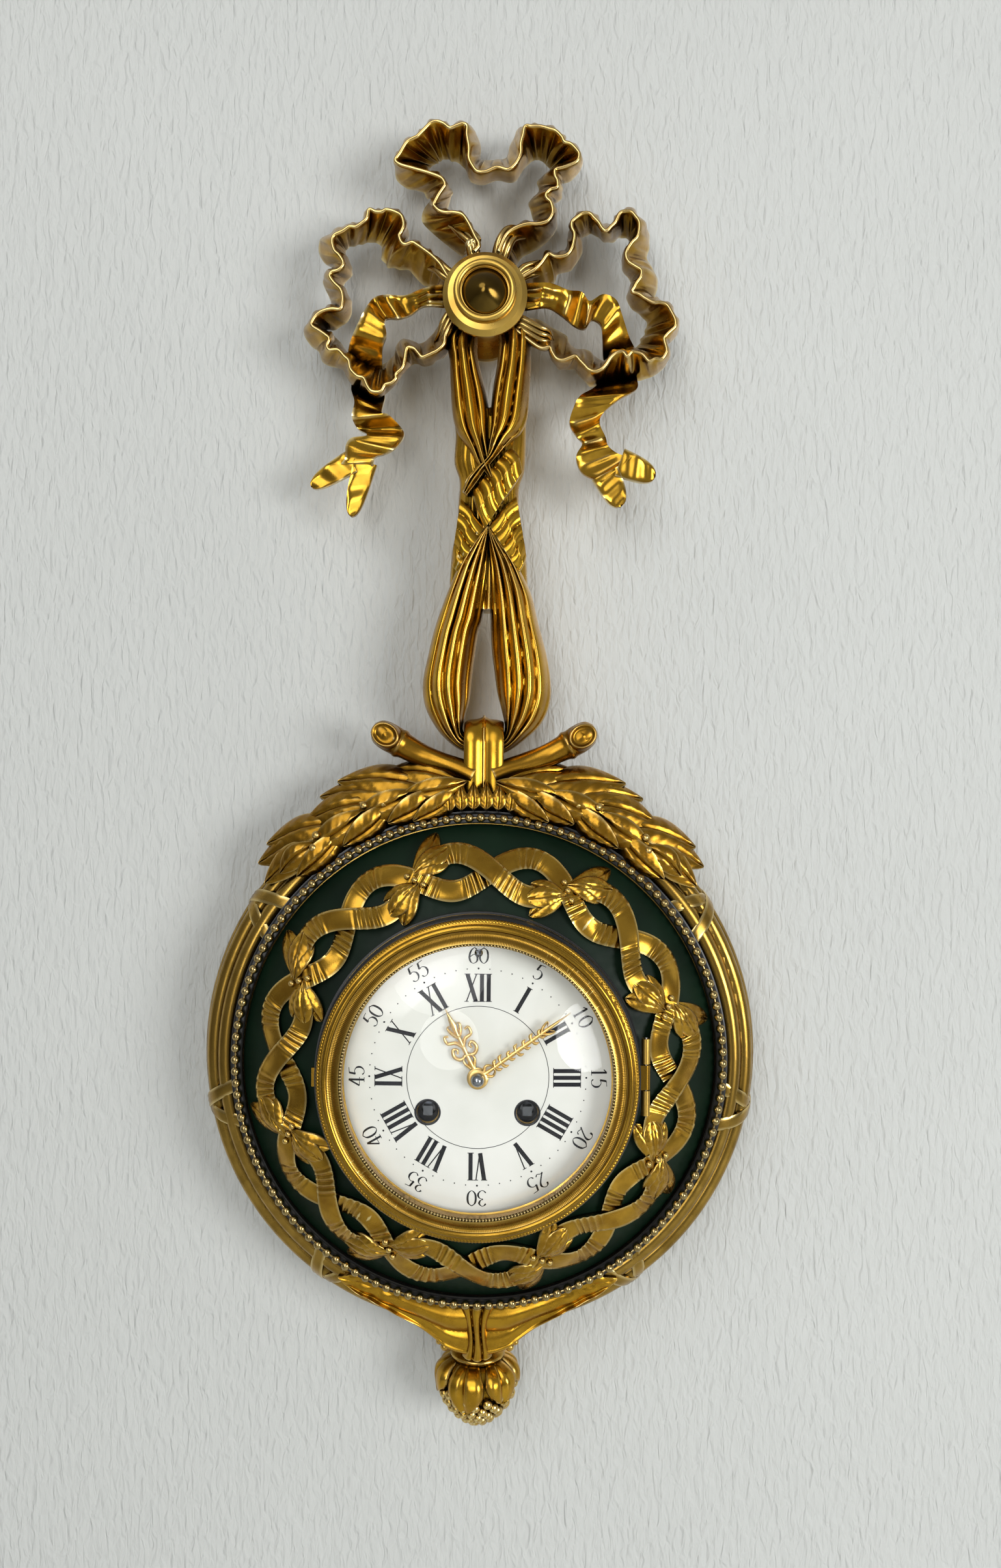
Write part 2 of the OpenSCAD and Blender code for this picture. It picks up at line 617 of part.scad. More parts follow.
// Bezel: milled edge, polished round, hollow, and a raised inner rim that holds the glass.
glass_seat = bezel_back + 8.6;
bezel_top = glass_seat + 4.2;
module bezel() color(gilt) on_case() {
    difference() {
        union() {
            rotate_extrude() difference() {
                union() {
                    polygon([[dial_radius + 1.4, bezel_back], [bezel_outer, bezel_back],
                        [bezel_outer, bezel_back + 7.6], [bezel_outer - 1, bezel_back + 8.2],
                        [bezel_outer - 1, bezel_top - 3.4], [bezel_opening + 3, bezel_top],
                        [bezel_opening, bezel_top], [bezel_opening, glass_seat],
                        [dial_radius + 1.4, glass_seat - 3.4]]);
                    translate([bezel_outer - 2.9, bezel_top - 3.2]) circle(r = 1.9);
                }
                translate([bezel_opening + 6.4, bezel_top + 2.6]) circle(r = 4.6);
                translate([bezel_opening - 1, glass_seat - 8]) square([3.2, 8]);
            }
            translate([hinge_x, 0, hinge_z]) {
                translate([0, -hinge_length / 6 + hinge_gap, 0]) rotate([-90, 0, 0])
                    cylinder(r = 1.9, h = hinge_length / 3 - 2 * hinge_gap);
                translate([-6, -hinge_length / 6 + hinge_gap, 0])
                    cube([6, hinge_length / 3 - 2 * hinge_gap, 1.9]);
            }
            // Thumb lift
            translate([-bezel_outer - 1.6, -4, bezel_back + 4]) cube([4, 8, 2]);
        }
        translate([hinge_x, -hinge_length, hinge_z]) rotate([-90, 0, 0])
            cylinder(r = pin_radius + running, h = 2 * hinge_length);
    }
}

module dial_glass() color(clear, 0.4) on_case() {
    edge = bezel_opening + 2;
    ball = (edge * edge + glass_rise * glass_rise) / (2 * glass_rise);
    rotate_extrude($fn = 96) intersection() {
        difference() {
            translate([0, glass_seat - glass_thickness - 0.1 + glass_rise - ball]) circle(r = ball, $fn = 200);
            translate([0, glass_seat - glass_thickness - 0.1 + glass_rise - ball])
                circle(r = ball - glass_thickness, $fn = 200);
        }
        translate([0, glass_seat - glass_thickness - 0.2]) square([bezel_opening + 1.6, glass_rise + 2]);
    }
}

module glass_ring() color(brass) on_case() rotate_extrude()
    translate([bezel_opening - 0.6, glass_seat - 2.6]) square([2.6, 0.8]);

module bezel_hinge_pin() color(steel) on_case()
    translate([hinge_x, -hinge_length / 2 - 0.6, hinge_z]) rotate([-90, 0, 0])
        cylinder(r = pin_radius - 0.02, h = hinge_length + 1.2);

module bezel_hinge_leaf() color(brass) on_case() difference() {
    union() for (s = [0, 1]) mirror([0, s, 0]) translate([hinge_x, hinge_length / 6 + hinge_gap, hinge_z]) {
        rotate([-90, 0, 0]) cylinder(r = 1.9, h = hinge_length / 3 - hinge_gap);
        translate([-1.2, 0, pan_back - hinge_z]) cube([2.4, hinge_length / 3 - hinge_gap, hinge_z - pan_back]);
    }
    translate([hinge_x, -hinge_length, hinge_z]) rotate([-90, 0, 0])
        cylinder(r = pin_radius, h = 2 * hinge_length);
    translate([0, 0, pan_back - 1]) cylinder(r = pan_flange + 0.1, h = pan_sheet + 1.2);
}

module enamel_dial() color(white) on_case() difference() {
    rotate_extrude() polygon(concat([[0, dial_back], [dial_radius, dial_back]],
        [for (k = [6 : -1 : 0]) [dial_radius * k / 6, dial_back + dial_edge + dial_dome * (1 - k * k / 36)]]));
    cylinder(r = 4.2, h = 200);
    for (s = [-1, 1]) at([s * barrel_x, barrel_y]) cylinder(r = 5.1, h = 200);
    at(regulator_at) cylinder(r = 1.8, h = 200);
}

module dial_pan() color(brass) on_case() difference() {
    union() {
        rotate_extrude() union() {
            translate([36, pan_back]) square([pan_flange - 36, pan_sheet]);
            translate([pan_tube, pan_back - pan_tube_length]) square([pan_tube_wall, pan_tube_length + 0.1]);
            translate([dial_radius - 4, pan_front - 0.1]) square([3.6, dial_back - pan_front]);
        }
        for (p = feet_at) at(p, front_plate_front + 0.1) cylinder(r = 2, h = motion_space + 0.1);
    }
    at(regulator_at) cylinder(r = 2.6, h = 200);
}

// Pierced scrolled hand pointing up.
module hand_outline(length, hub, bore) difference() {
    union() {
        circle(r = hub);
        translate([-0.9, 0]) square([1.8, length * 0.7]);
        for (s = [-1, 1]) {
            translate([s * 1.9, length * 0.27]) circle(r = 2.7);
            translate([s * 2.5, length * 0.42]) circle(r = 3.1);
            translate([s * 1.5, length * 0.57]) circle(r = 2.2);
        }
        polygon([[0, length * 0.6], [2.6, length * 0.76], [1.1, length * 0.84], [0, length],
            [-1.1, length * 0.84], [-2.6, length * 0.76]]);
    }
    circle(r = bore);
    for (s = [-1, 1]) {
        translate([s * 2.3, length * 0.27]) circle(r = 1.2);
        translate([s * 3, length * 0.42]) circle(r = 1.6);
        translate([s * 2, length * 0.57]) circle(r = 0.9);
    }
}

module hour_hand() color(brass) on_case() translate([0, 0, hour_hand_z]) rotate(-show_hour)
    linear_extrude(hand_sheet) hand_outline(hour_hand_length, 4.6, 3.02);
module minute_hand() color(brass) on_case() translate([0, 0, minute_hand_z]) rotate(-show_minute)
    linear_extrude(hand_sheet) hand_outline(minute_hand_length, 4.2, 2.02);
module hand_collet() color(steel) on_case() difference() {
    translate([0, 0, minute_hand_z + hand_sheet + 0.2]) {
        cylinder(r = 3.4, h = 1.4);
        translate([0, 0, 1.4]) cylinder(r1 = 3, r2 = 2, h = 1);
    }
    cylinder(r = centre_radius + running, h = 200);
}

// Toothed outline with straight-sided teeth, thinner than half the pitch so that meshes run free.
function tooth_points(teeth, r_root, r_tip, phase, root_share, tip_share) =
    [for (i = [0 : teeth - 1]) let (c = phase + i * 360 / teeth, p = 360 / teeth)
        each [[r_root * cos(c - root_share * p), r_root * sin(c - root_share * p)],
            [r_tip * cos(c - tip_share * p), r_tip * sin(c - tip_share * p)],
            [r_tip * cos(c + tip_share * p), r_tip * sin(c + tip_share * p)],
            [r_root * cos(c + root_share * p), r_root * sin(c + root_share * p)]]];
module gear(teeth, size, phase)
    polygon(tooth_points(teeth, teeth * size / 2 - 1.2 * size, teeth * size / 2 + 0.75 * size, phase, 0.24, 0.09));
module wheel(teeth, size, phase, thick, arms) linear_extrude(thick) difference() {
    gear(teeth, size, phase);
    rim = teeth * size / 2 - 1.2 * size - 1.6;
    if (arms > 0) difference() {
        circle(r = rim);
        circle(r = 3);
        for (k = [0 : arms - 1]) rotate(k * 360 / arms) translate([0, -0.8]) square([rim + 1, 1.6]);
    }
}
module pinion(leaves, size, phase, long) linear_extrude(long) gear(leaves, size, phase);
function bearing(a, b) = atan2(b[1] - a[1], b[0] - a[0]);
// Phase of a gear at b that meshes with the gear at a: a tooth of one faces a gap of the other.
function meshed(a, b, n1, phase1, n2) =
    bearing(a, b) + 180 - (0.5 - (bearing(a, b) - phase1) * n1 / 360) * 360 / n2;

centre_at = [0, 0];
going_at = [barrel_x, barrel_y];
strike_at = [-barrel_x, barrel_y];
second_phase = meshed(centre_at, second_at, 10, 0, 70);
second_pinion_phase = 0;
great_phase = meshed(second_at, going_at, 10, second_pinion_phase, 84);
third_pinion_phase = meshed(centre_at, third_at, 90, 0, 8);
escape_pinion_phase = meshed(third_at, escape_at, 96, 0, 8);
minute_phase = meshed(centre_at, minute_at, 12, 0, 36);
hour_phase = meshed(minute_at, centre_at, 10, 0, 40);
strike_pinion_phase = meshed(strike_at, strike_second_at, 84, 0, 10);
pin_pinion_phase = meshed(strike_second_at, pin_wheel_at, 70, 0, 8);
fly_pinion_phase = meshed(pin_wheel_at, fly_at, 60, 0, 7);

module arbor(low, high, radius) {
    translate([0, 0, back_plate_front + 0.2 + low]) cylinder(r = radius, h = plate_gap - 0.4 - low - high);
    translate([0, 0, movement_back + 0.3]) cylinder(r = pivot_radius, h = plate_gap + 2 * plate_thickness - 0.6);
}
module pivot_holes() {
    for (p = [second_at, third_at, escape_at, strike_second_at, pin_wheel_at, fly_at])
        at(p) cylinder(r = pivot_radius + running, h = 200);
    at(regulator_at) cylinder(r = 1.2 + running, h = 200);
    for (p = pillars_at) at(p) cylinder(r = 1.2 + running, h = 200);
}
module plate_blank(z) translate([0, 0, z]) {
    cylinder(r = plate_radius, h = plate_thickness);
    translate([-6, 38, 0]) cube([12, 20, plate_thickness]);
}

module front_plate() color(brass) on_case() {
    difference() {
        plate_blank(front_plate_back);
        pivot_holes();
        at(anchor_at) cylinder(r = pivot_radius + running, h = 200);
        at(hammer_at) cylinder(r = pivot_radius + running, h = 200);
        cylinder(r = centre_radius + running, h = 200);
        for (s = [-1, 1]) at([s * barrel_x, barrel_y]) cylinder(r = winding_radius + running, h = 200);
    }
    at(minute_at, front_plate_front - 0.1) cylinder(r = 1.2, h = motion_space - 0.6);
    for (s = [-1, 1]) at([s * click_at[0], click_at[1]], front_plate_front - 0.1) cylinder(r = 1, h = 2.2);
}

module back_plate() color(brass) on_case() difference() {
    plate_blank(movement_back);
    pivot_holes();
    at(anchor_at) cylinder(r = 2, h = 200);
    at(hammer_at) cylinder(r = 1.2 + running, h = 200);
    cylinder(r = pivot_radius + running, h = 200);
    for (s = [-1, 1]) at([s * barrel_x, barrel_y]) cylinder(r = 1.5 + running, h = 200);
}

module plate_pillars() color(brass) on_case() for (p = pillars_at) at(p) {
    translate([0, 0, back_plate_front + 0.05]) cylinder(r = 2.2, h = plate_gap - 0.1);
    translate([0, 0, movement_back - 2]) cylinder(r = 1.2, h = plate_gap + 2 * plate_thickness + 4);
    translate([0, 0, movement_back - 1.9]) cylinder(r = 2.6, h = 1.8, $fn = 6);
    translate([0, 0, front_plate_front + 0.1]) cylinder(r = 2.6, h = 1.8, $fn = 6);
}

strap_start = pan_tube + pan_tube_wall + fit;
module movement_straps() color(brass) on_case() for (a = [25, 155]) rotate(a) difference() {
    union() {
        translate([strap_start, -5, back_sheet + shell_wall + fit])
            cube([2, 10, pan_back - 7.4 - back_sheet - shell_wall - fit]);
        translate([strap_start, -5, back_sheet + shell_wall + fit]) cube([strap_end - strap_start, 10, 1.6]);
    }
    translate([strap_screw, 0, 0]) cylinder(r = 1.25, h = 20);
}

module strap_screws() color(steel) on_case() for (a = [25, 155]) rotate(a) translate([strap_screw, 0, 0]) {
    translate([0, 0, back_sheet - 1.6]) cylinder(r = 2.4, h = 1.5);
    translate([0, 0, back_sheet - 0.2]) cylinder(r = 1.2, h = 5);
}

module barrel(teeth_z, drum_z, phase) difference() {
    union() {
        translate([0, 0, teeth_z]) linear_extrude(2) gear(84, 0.45, phase);
        translate([0, 0, drum_z]) cylinder(r = 17, h = drum_length);
        translate([0, 0, drum_z - 0.8]) cylinder(r = 6, h = drum_length + 1.6);
    }
    cylinder(r = winding_radius + running, h = 200);
}
module winding_arbor(phase) {
    translate([0, 0, movement_back + 0.2]) cylinder(r = 1.5, h = plate_thickness + 1);
    translate([0, 0, back_plate_front + 0.3]) cylinder(r = winding_radius, h = plate_gap + plate_thickness + 2);
    translate([0, 0, front_plate_front + 0.3]) linear_extrude(1.4)
        polygon([for (i = [0 : 17]) each [[7.2 * cos(i * 20 + phase), 7.2 * sin(i * 20 + phase)],
            [5.8 * cos(i * 20 + phase + 3), 5.8 * sin(i * 20 + phase + 3)]]]);
    translate([-winding_square / 2, -winding_square / 2, front_plate_front + 1.2])
        cube([winding_square, winding_square, dial_back - front_plate_front - 1]);
}
module click() difference() {
    translate([0, 0, front_plate_front + 0.3]) linear_extrude(1.4) union() {
        polygon([[21.7, -7.4], [24, -7.2], [29.7, -9.6], [29.7, -6.2], [22, -6.2]]);
        translate(click_at) circle(r = 1.75);
    }
    at(click_at) cylinder(r = 1 + running, h = 200);
}

module going_barrel() color(brass) on_case() at(going_at) barrel(great_z, great_z + 1.9, great_phase);
module strike_barrel() color(brass) on_case() at(strike_at)
    barrel(strike_great_z, strike_great_z - drum_length + 0.1, 0);
module going_winding_arbor() color(steel) on_case() at(going_at) winding_arbor(3);
module strike_winding_arbor() color(steel) on_case() at(strike_at) winding_arbor(9);
module going_click() color(steel) on_case() click();
module strike_click() color(steel) on_case() mirror([1, 0, 0]) click();

module second_wheel() color(brass) on_case() at(second_at) {
    arbor(0, 0, arbor_radius);
    translate([0, 0, great_z - 0.5]) pinion(10, 0.45, second_pinion_phase, 3);
    translate([0, 0, second_wheel_z]) wheel(70, 0.45, second_phase, 1, 4);
}
module centre_wheel() color(brass) on_case() {
    translate([0, 0, movement_back + 0.3]) cylinder(r = pivot_radius, h = plate_thickness + 1);
    translate([0, 0, back_plate_front + 0.2]) cylinder(r = centre_radius, h = minute_hand_z + 4.4 - back_plate_front);
    translate([0, 0, centre_wheel_z]) wheel(90, 0.35, 0, 1.2, 4);
    translate([0, 0, second_wheel_z - 0.5]) pinion(10, 0.45, 0, 2);
}
module third_wheel() color(brass) on_case() at(third_at) {
    arbor(0, 0, arbor_radius);
    translate([0, 0, third_wheel_z]) wheel(96, 0.315, 0, 1.1, 4);
    translate([0, 0, centre_wheel_z - 0.4]) pinion(8, 0.35, third_pinion_phase, 2);
}
module escape_wheel() color(brass) on_case() at(escape_at) {
    arbor(0.4, 0, arbor_radius);
    translate([0, 0, third_wheel_z - 0.4]) pinion(8, 0.315, escape_pinion_phase, 1.9);
    translate([0, 0, escape_z]) linear_extrude(1.2) difference() {
        polygon(tooth_points(38, 9.4, 11, 0, 0.32, 0.06));
        difference() {
            circle(r = 8);
            circle(r = 2.4);
            for (k = [0 : 3]) rotate(k * 90) translate([0, -0.7]) square([9, 1.4]);
        }
    }
}

// Pallets on their arbor, with the crutch behind the back plate.
module anchor() color(steel) on_case() {
    at(anchor_at) {
        translate([0, 0, movement_back - 3]) cylinder(r = 1, h = plate_gap + plate_thickness + 2.6);
        translate([0, 0, front_plate_back - 0.5]) cylinder(r = pivot_radius, h = plate_thickness);
    }
    translate([0, 0, escape_z - 0.2]) linear_extrude(1.6) union() {
        translate(anchor_at) circle(r = 2.2);
        polygon([[0, 35.6], [-7.4, 31.7], [-8.2, 30.9], [-9.6, 31.8], [-9.6, 33.2], [0, 38.8],
            [9.6, 33.2], [9.6, 31.8], [8.2, 30.9], [7.4, 31.7]]);
    }
    translate([0, 0, movement_back - 2.8]) linear_extrude(1.3) union() {
        translate(anchor_at) circle(r = 2.2);
        translate([-0.9, 7]) square([1.8, 30]);
        translate([-2.2, 6]) square([4.4, 2]);
    }
    for (s = [-1, 1]) translate([s * 1.75 - 0.45, 6, pendulum_depth - 2])
        cube([0.9, 2, movement_back - 2 - pendulum_depth + 2]);
}

module suspension_cock() color(brass) on_case() difference() {
    translate([-5, 42.5, pendulum_depth - 4]) cube([10, 7.5, movement_back - pendulum_depth + 3.9]);
    translate([-0.7, 42, pendulum_depth - 1.8]) cube([1.4, 5, 3.6]);
}
module regulator_arbor() color(steel) on_case() at(regulator_at) {
    translate([0, 0, movement_back - 3]) cylinder(r = 1.2, h = pan_back - movement_back + 3.2);
    translate([0, 0, movement_back - 3]) cylinder(r = 2.4, h = 2.5);
    translate([-0.8, -0.8, pan_back]) cube([1.6, 1.6, dial_back + 1 - pan_back]);
}

// Pendulum on its spring: it bends about the line of the pallet arbor.
bob_drop = 122;
bob_half = 4;
module pendulum() color(brass) on_case() translate([0, 0, pendulum_depth]) {
    bob_y = anchor_at[1] - bob_drop;
    translate([-0.15, 31, -1.3]) cube([0.3, 15, 2.6]);
    translate([0, 28, 0]) upright() cylinder(r = 1.9, h = 4.5);
    translate([0, bob_y, 0]) upright() cylinder(r = 1, h = 28.5 - bob_y);
    translate([0, bob_y, 0]) rotate_extrude() polygon(concat([[0, -bob_half], [0, bob_half]],
        [for (k = [1 : 5]) [bob_radius * k / 5, 0.6 + (bob_half - 0.6) * (1 - k * k / 25)]],
        [for (k = [5 : -1 : 1]) [bob_radius * k / 5, -0.6 - (bob_half - 0.6) * (1 - k * k / 25)]]));
    translate([0, bob_y - bob_radius - 5, 0]) upright() cylinder(r = 1, h = 8);
    translate([0, bob_y - bob_radius - 3, 0]) upright() cylinder(r = 2.6, h = 2);
}

module cannon_pinion() color(brass) on_case() difference() {
    union() {
        translate([0, 0, motion_z - 0.2]) pinion(12, 0.7, 0, 1.8);
        translate([0, 0, motion_z]) cylinder(r = 2, h = minute_hand_z + hand_sheet - motion_z);
    }
    cylinder(r = centre_radius + running, h = 200);
}
module minute_wheel() color(brass) on_case() at(minute_at) difference() {
    union() {
        translate([0, 0, motion_z]) wheel(36, 0.7, minute_phase, 1.1, 0);
        translate([0, 0, motion_z + 1]) pinion(10, 0.672, 0, 2.8);
    }
    cylinder(r = 1.2 + running, h = 200);
}
module hour_wheel() color(brass) on_case() difference() {
    union() {
        translate([0, 0, hour_wheel_z]) wheel(40, 0.672, hour_phase, 1.1, 0);
        translate([0, 0, hour_wheel_z]) cylinder(r = 3, h = hour_hand_z + hand_sheet - hour_wheel_z);
    }
    cylinder(r = 2 + 0.08, h = 200);
}

module strike_second_wheel() color(brass) on_case() at(strike_second_at) {
    arbor(0, 0, arbor_radius);
    translate([0, 0, strike_great_z - 0.5]) pinion(10, 0.45, strike_pinion_phase, 3);
    translate([0, 0, strike_second_z]) wheel(70, 0.4, 0, 1, 4);
}
module pin_wheel() color(brass) on_case() at(pin_wheel_at) {
    arbor(0, 0, arbor_radius);
    translate([0, 0, strike_second_z - 0.5]) pinion(8, 0.4, pin_pinion_phase, 2);
    translate([0, 0, pin_wheel_z]) wheel(60, 0.3, 0, 1.2, 0);
    for (k = [0 : 7]) rotate(k * 45) translate([6.6, 0, pin_wheel_z + 1]) cylinder(r = 0.5, h = 3);
}
module fly() color(brass) on_case() at(fly_at) {
    arbor(0, 0, pivot_radius);
    translate([0, 0, pin_wheel_z - 0.4]) pinion(7, 0.3, fly_pinion_phase, 2);
    translate([-5.2, -0.4, back_plate_front + 1.5]) cube([10.4, 0.8, 11.5]);
}

// Hammer: arbor between the plates, tail to the pins, arm and head behind.
module hammer() color(steel) on_case() {
    head = [30.8, -19.2];
    at(hammer_at) {
        translate([0, 0, movement_back - 14.6]) cylinder(r = 1.2, h = plate_gap + plate_thickness + 14.2);
        translate([0, 0, front_plate_back - 0.5]) cylinder(r = pivot_radius, h = plate_thickness);
        rotate(bearing(hammer_at, pin_wheel_at)) translate([0, -0.8, pin_wheel_z + 1.8]) cube([6.4, 1.6, 1.8]);
        rotate(bearing(hammer_at, head)) translate([0, -0.9, movement_back - 14.4]) cube([26, 1.8, 2.2]);
    }
    at(head, movement_back - 17.5) cylinder(r = 3, h = 6.5);
}

bell_mouth = movement_back - 10;
bell_high = 12;
module bell() color(brass) on_case() at(bell_at) {
    ball = (bell_radius * bell_radius + bell_high * bell_high) / (2 * bell_high);
    rotate_extrude() intersection() {
        difference() {
            translate([0, bell_mouth - bell_high + ball]) circle(r = ball, $fn = 120);
            translate([0, bell_mouth - bell_high + ball]) circle(r = ball - 1.5, $fn = 120);
        }
        translate([2.05, bell_mouth - bell_high - 1]) square([bell_radius, bell_high + 1]);
    }
}
module bell_stand() color(steel) on_case() {
    reach = norm(bell_post_at - bell_at);
    at(bell_post_at, bell_mouth + 1) cylinder(r = 2.2, h = movement_back - 0.1 - bell_mouth - 1);
    at(bell_at) {
        rotate(bearing(bell_at, bell_post_at)) translate([0, -2, bell_mouth + 1]) cube([reach, 4, 1.6]);
        translate([0, 0, bell_mouth - bell_high - 1.4]) cylinder(r = 2, h = bell_high + 3.5);
        translate([0, 0, bell_mouth - bell_high + 1.8]) cylinder(r = 3.4, h = bell_high - 0.7);
        translate([0, 0, bell_mouth - bell_high - 1.2]) cylinder(r = 3.2, h = 1, $fn = 6);
    }
}

hanging_plate();
ribbon_top_loop();
ribbon_left_loop();
ribbon_right_loop();
boss_disc();
boss_cap();
hanging_drape();
bail();
left_laurel_branch();
right_laurel_branch();
reeded_frame();
reed_bindings();
bottom_bracket();
berry_finial();
rim_moulding();
bead_ring();
green_panel();
ribbon_wreath();
case_shell();
back_door();
back_door_hinge_pin();
bezel();
dial_glass();
glass_ring();
bezel_hinge_pin();
bezel_hinge_leaf();
enamel_dial();
dial_pan();
hour_hand();
minute_hand();
hand_collet();
front_plate();
back_plate();
plate_pillars();
movement_straps();
strap_screws();
going_barrel();
going_winding_arbor();
going_click();
second_wheel();
centre_wheel();
third_wheel();
escape_wheel();
anchor();
suspension_cock();
regulator_arbor();
pendulum();
cannon_pinion();
minute_wheel();
hour_wheel();
strike_barrel();
strike_winding_arbor();
strike_click();
strike_second_wheel();
pin_wheel();
fly();
hammer();
bell();
bell_stand();
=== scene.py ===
"""Wall clock hung from a ribbon bow: surfaces, finishes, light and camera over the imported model.

Lengths in the classes are millimetres in the wall's frame: x to the right, y up, z out of the wall.
"""
import logging
import math
from dataclasses import dataclass, field
from enum import Enum
from typing import Sequence

import bmesh
import bpy
import numpy as np
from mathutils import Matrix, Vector


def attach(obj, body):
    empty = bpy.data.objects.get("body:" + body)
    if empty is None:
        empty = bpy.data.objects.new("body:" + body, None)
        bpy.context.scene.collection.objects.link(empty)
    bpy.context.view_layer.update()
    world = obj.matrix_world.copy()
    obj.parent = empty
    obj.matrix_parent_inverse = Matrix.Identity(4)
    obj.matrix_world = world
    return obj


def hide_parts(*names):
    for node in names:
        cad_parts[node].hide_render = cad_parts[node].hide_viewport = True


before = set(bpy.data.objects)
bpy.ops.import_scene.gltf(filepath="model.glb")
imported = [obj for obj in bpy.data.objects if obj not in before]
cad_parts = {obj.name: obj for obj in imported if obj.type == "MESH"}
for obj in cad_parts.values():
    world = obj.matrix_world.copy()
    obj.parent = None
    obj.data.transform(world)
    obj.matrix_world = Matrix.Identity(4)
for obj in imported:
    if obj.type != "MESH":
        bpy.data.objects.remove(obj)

log = logging.getLogger("wall_clock")
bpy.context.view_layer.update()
Array = np.ndarray
Rows = Sequence[Sequence[float]]
Socket = bpy.types.NodeSocket
FULL_TURN = 2 * np.pi
OUT = np.array([0.0, 0.0, 1.0])
MM_PER_METRE = 1000.0
WELD_METRES = 2e-7
CASE_DROP = 350.0
FRAME_RADIUS = 129.5
REED_CIRCLE = 112.3
REED_MIDDLE = 20.0
WINDING_HOLES = ((21.3, -15.0), (-21.3, -15.0))
SIDES = ((-1, "left"), (1, "right"))


class Body(str, Enum):
    """The moving bodies that pieces ride on."""

    CASE = "case"
    BEZEL = "bezel_door"
    MINUTES = "minute_train"
    HOURS = "hour_train"


class Slot(str, Enum):
    """The material slots of the CAD nodes."""

    GILT = "gilt_bronze"
    DARK = "dark_bronze"
    BRASS = "brass"
    STEEL = "steel"
    GREEN = "green_lacquer"
    BLACK = "black_lacquer"
    ENAMEL = "white_enamel"
    GLASS = "clear_glass"


def wall(x: Array, y: Array, z: Array) -> Array:
    """Stack coordinates of the wall's frame.

    Args:
        x: Millimetres to the right.
        y: Millimetres up.
        z: Millimetres out of the wall.

    Returns:
        Points with the coordinates on the last axis.
    """
    return np.stack(np.broadcast_arrays(x, y, z), axis=-1).astype(float)


def raised(flat: Array, z: Array) -> Array:
    """Points over flat places, whose x and y are on the last axis, at height z."""
    return wall(flat[..., 0], flat[..., 1], z)


def turned(radius: Array, angle: Array, height: Array, centre: Sequence[float] = (0.0, -CASE_DROP)) -> Array:
    """Points on circles round an axis that points out of the wall.

    Args:
        radius: Distance from the axis.
        angle: Radians anticlockwise from the right.
        height: Height over the wall.
        centre: Where the axis meets the wall.

    Returns:
        x = centre x + r cos a, y = centre y + r sin a, z = height.
    """
    return wall(centre[0] + radius * np.cos(angle), centre[1] + radius * np.sin(angle), height)


def on_case(radius: Array, degrees: Array, height: Array) -> Array:
    """Points on circles round the case centre, by degrees anticlockwise from the right."""
    return turned(radius, np.radians(degrees), height)


def once_round(count: int, whole: float = FULL_TURN) -> Array:
    """Even angles once round, without the last."""
    return np.linspace(0.0, whole, count, endpoint=False)


def share_of(count: int, low: float = 0.0) -> Array:
    """Even shares from low to 1, as a column."""
    return np.linspace(low, 1.0, count)[:, None]


def between(a: Array, b: Array, share: Array) -> Array:
    """Grid of points a (1 - p) + b p from one rail to another, for a row of shares p."""
    return a[:, None] * (1 - share[..., None]) + b[:, None] * share[..., None]


def smooth(low: float, high: float, value: Array) -> Array:
    """Cubic step 3t^2 - 2t^3 between two values.

    Args:
        low: Where the step is 0.
        high: Where the step is 1.
        value: Where to take it.

    Returns:
        The step, 0 to 1.
    """
    t = np.clip((value - low) / (high - low), 0.0, 1.0)
    return t * t * (3.0 - 2.0 * t)


def bell(value: Array, middle: float, width: Array) -> Array:
    """Round hump exp(-((v - m) / w)^2)."""
    return np.exp(-(((value - middle) / width) ** 2))


def wave(turns: Array, phase: Array = 0.0) -> Array:
    """Cosine cos(2 pi turns + phase)."""
    return np.cos(FULL_TURN * turns + phase)


def spline(rows: Rows, count: int, measure: int = 3, steps: int = 150) -> Array:
    """Even samples of the Catmull-Rom curve through control rows.

    Args:
        rows: Control rows, whose first columns are a place.
        count: Number of samples.
        measure: How many of the first columns give the length.
        steps: Fine steps for each control row.

    Returns:
        Samples spaced evenly by the length of the first columns.
    """
    p = np.asarray(rows, dtype=float)
    q = np.vstack([2 * p[0] - p[1], p, 2 * p[-1] - p[-2]])
    t = np.linspace(0, len(p) - 1, steps * len(p))
    i = np.minimum(t.astype(int), len(p) - 2)
    f = (t - i)[:, None]
    a, b, c, d = q[i], q[i + 1], q[i + 2], q[i + 3]
    curve = 0.5 * (2 * b + (c - a) * f + (2 * a - 5 * b + 4 * c - d) * f**2 + (3 * b - a - 3 * c + d) * f**3)
    length = run_length(curve[:, :measure])
    even = np.linspace(0, length[-1], count)
    return np.stack([np.interp(even, length, column) for column in curve.T], axis=-1)


def run_length(path: Array) -> Array:
    """Distance along a sampled path from its first point."""
    return np.concatenate([[0.0], np.cumsum(np.linalg.norm(np.diff(path, axis=0), axis=1))])


def unit(vectors: Array) -> Array:
    """Vectors of length 1 along the last axis."""
    return vectors / np.maximum(np.linalg.norm(vectors, axis=-1, keepdims=True), 1e-9)


def heading(path: Array) -> Array:
    """Unit directions of travel along a sampled path."""
    return unit(np.gradient(path, axis=0))


def leftward(path: Array) -> Array:
    """Unit vectors to the left of travel along a flat path."""
    way = heading(path)
    return np.stack([-way[:, 1], way[:, 0]], axis=-1)


def upright(path: Array) -> tuple[Array, Array]:
    """Axes for a section that is carried along a path: across = way x out of the wall, out = across x way.

    Args:
        path: Places along the run.

    Returns:
        Unit vectors across the path along the wall, and out of the wall from it.
    """
    way = heading(path)
    across = unit(np.cross(way, OUT))
    return across, np.cross(across, way)


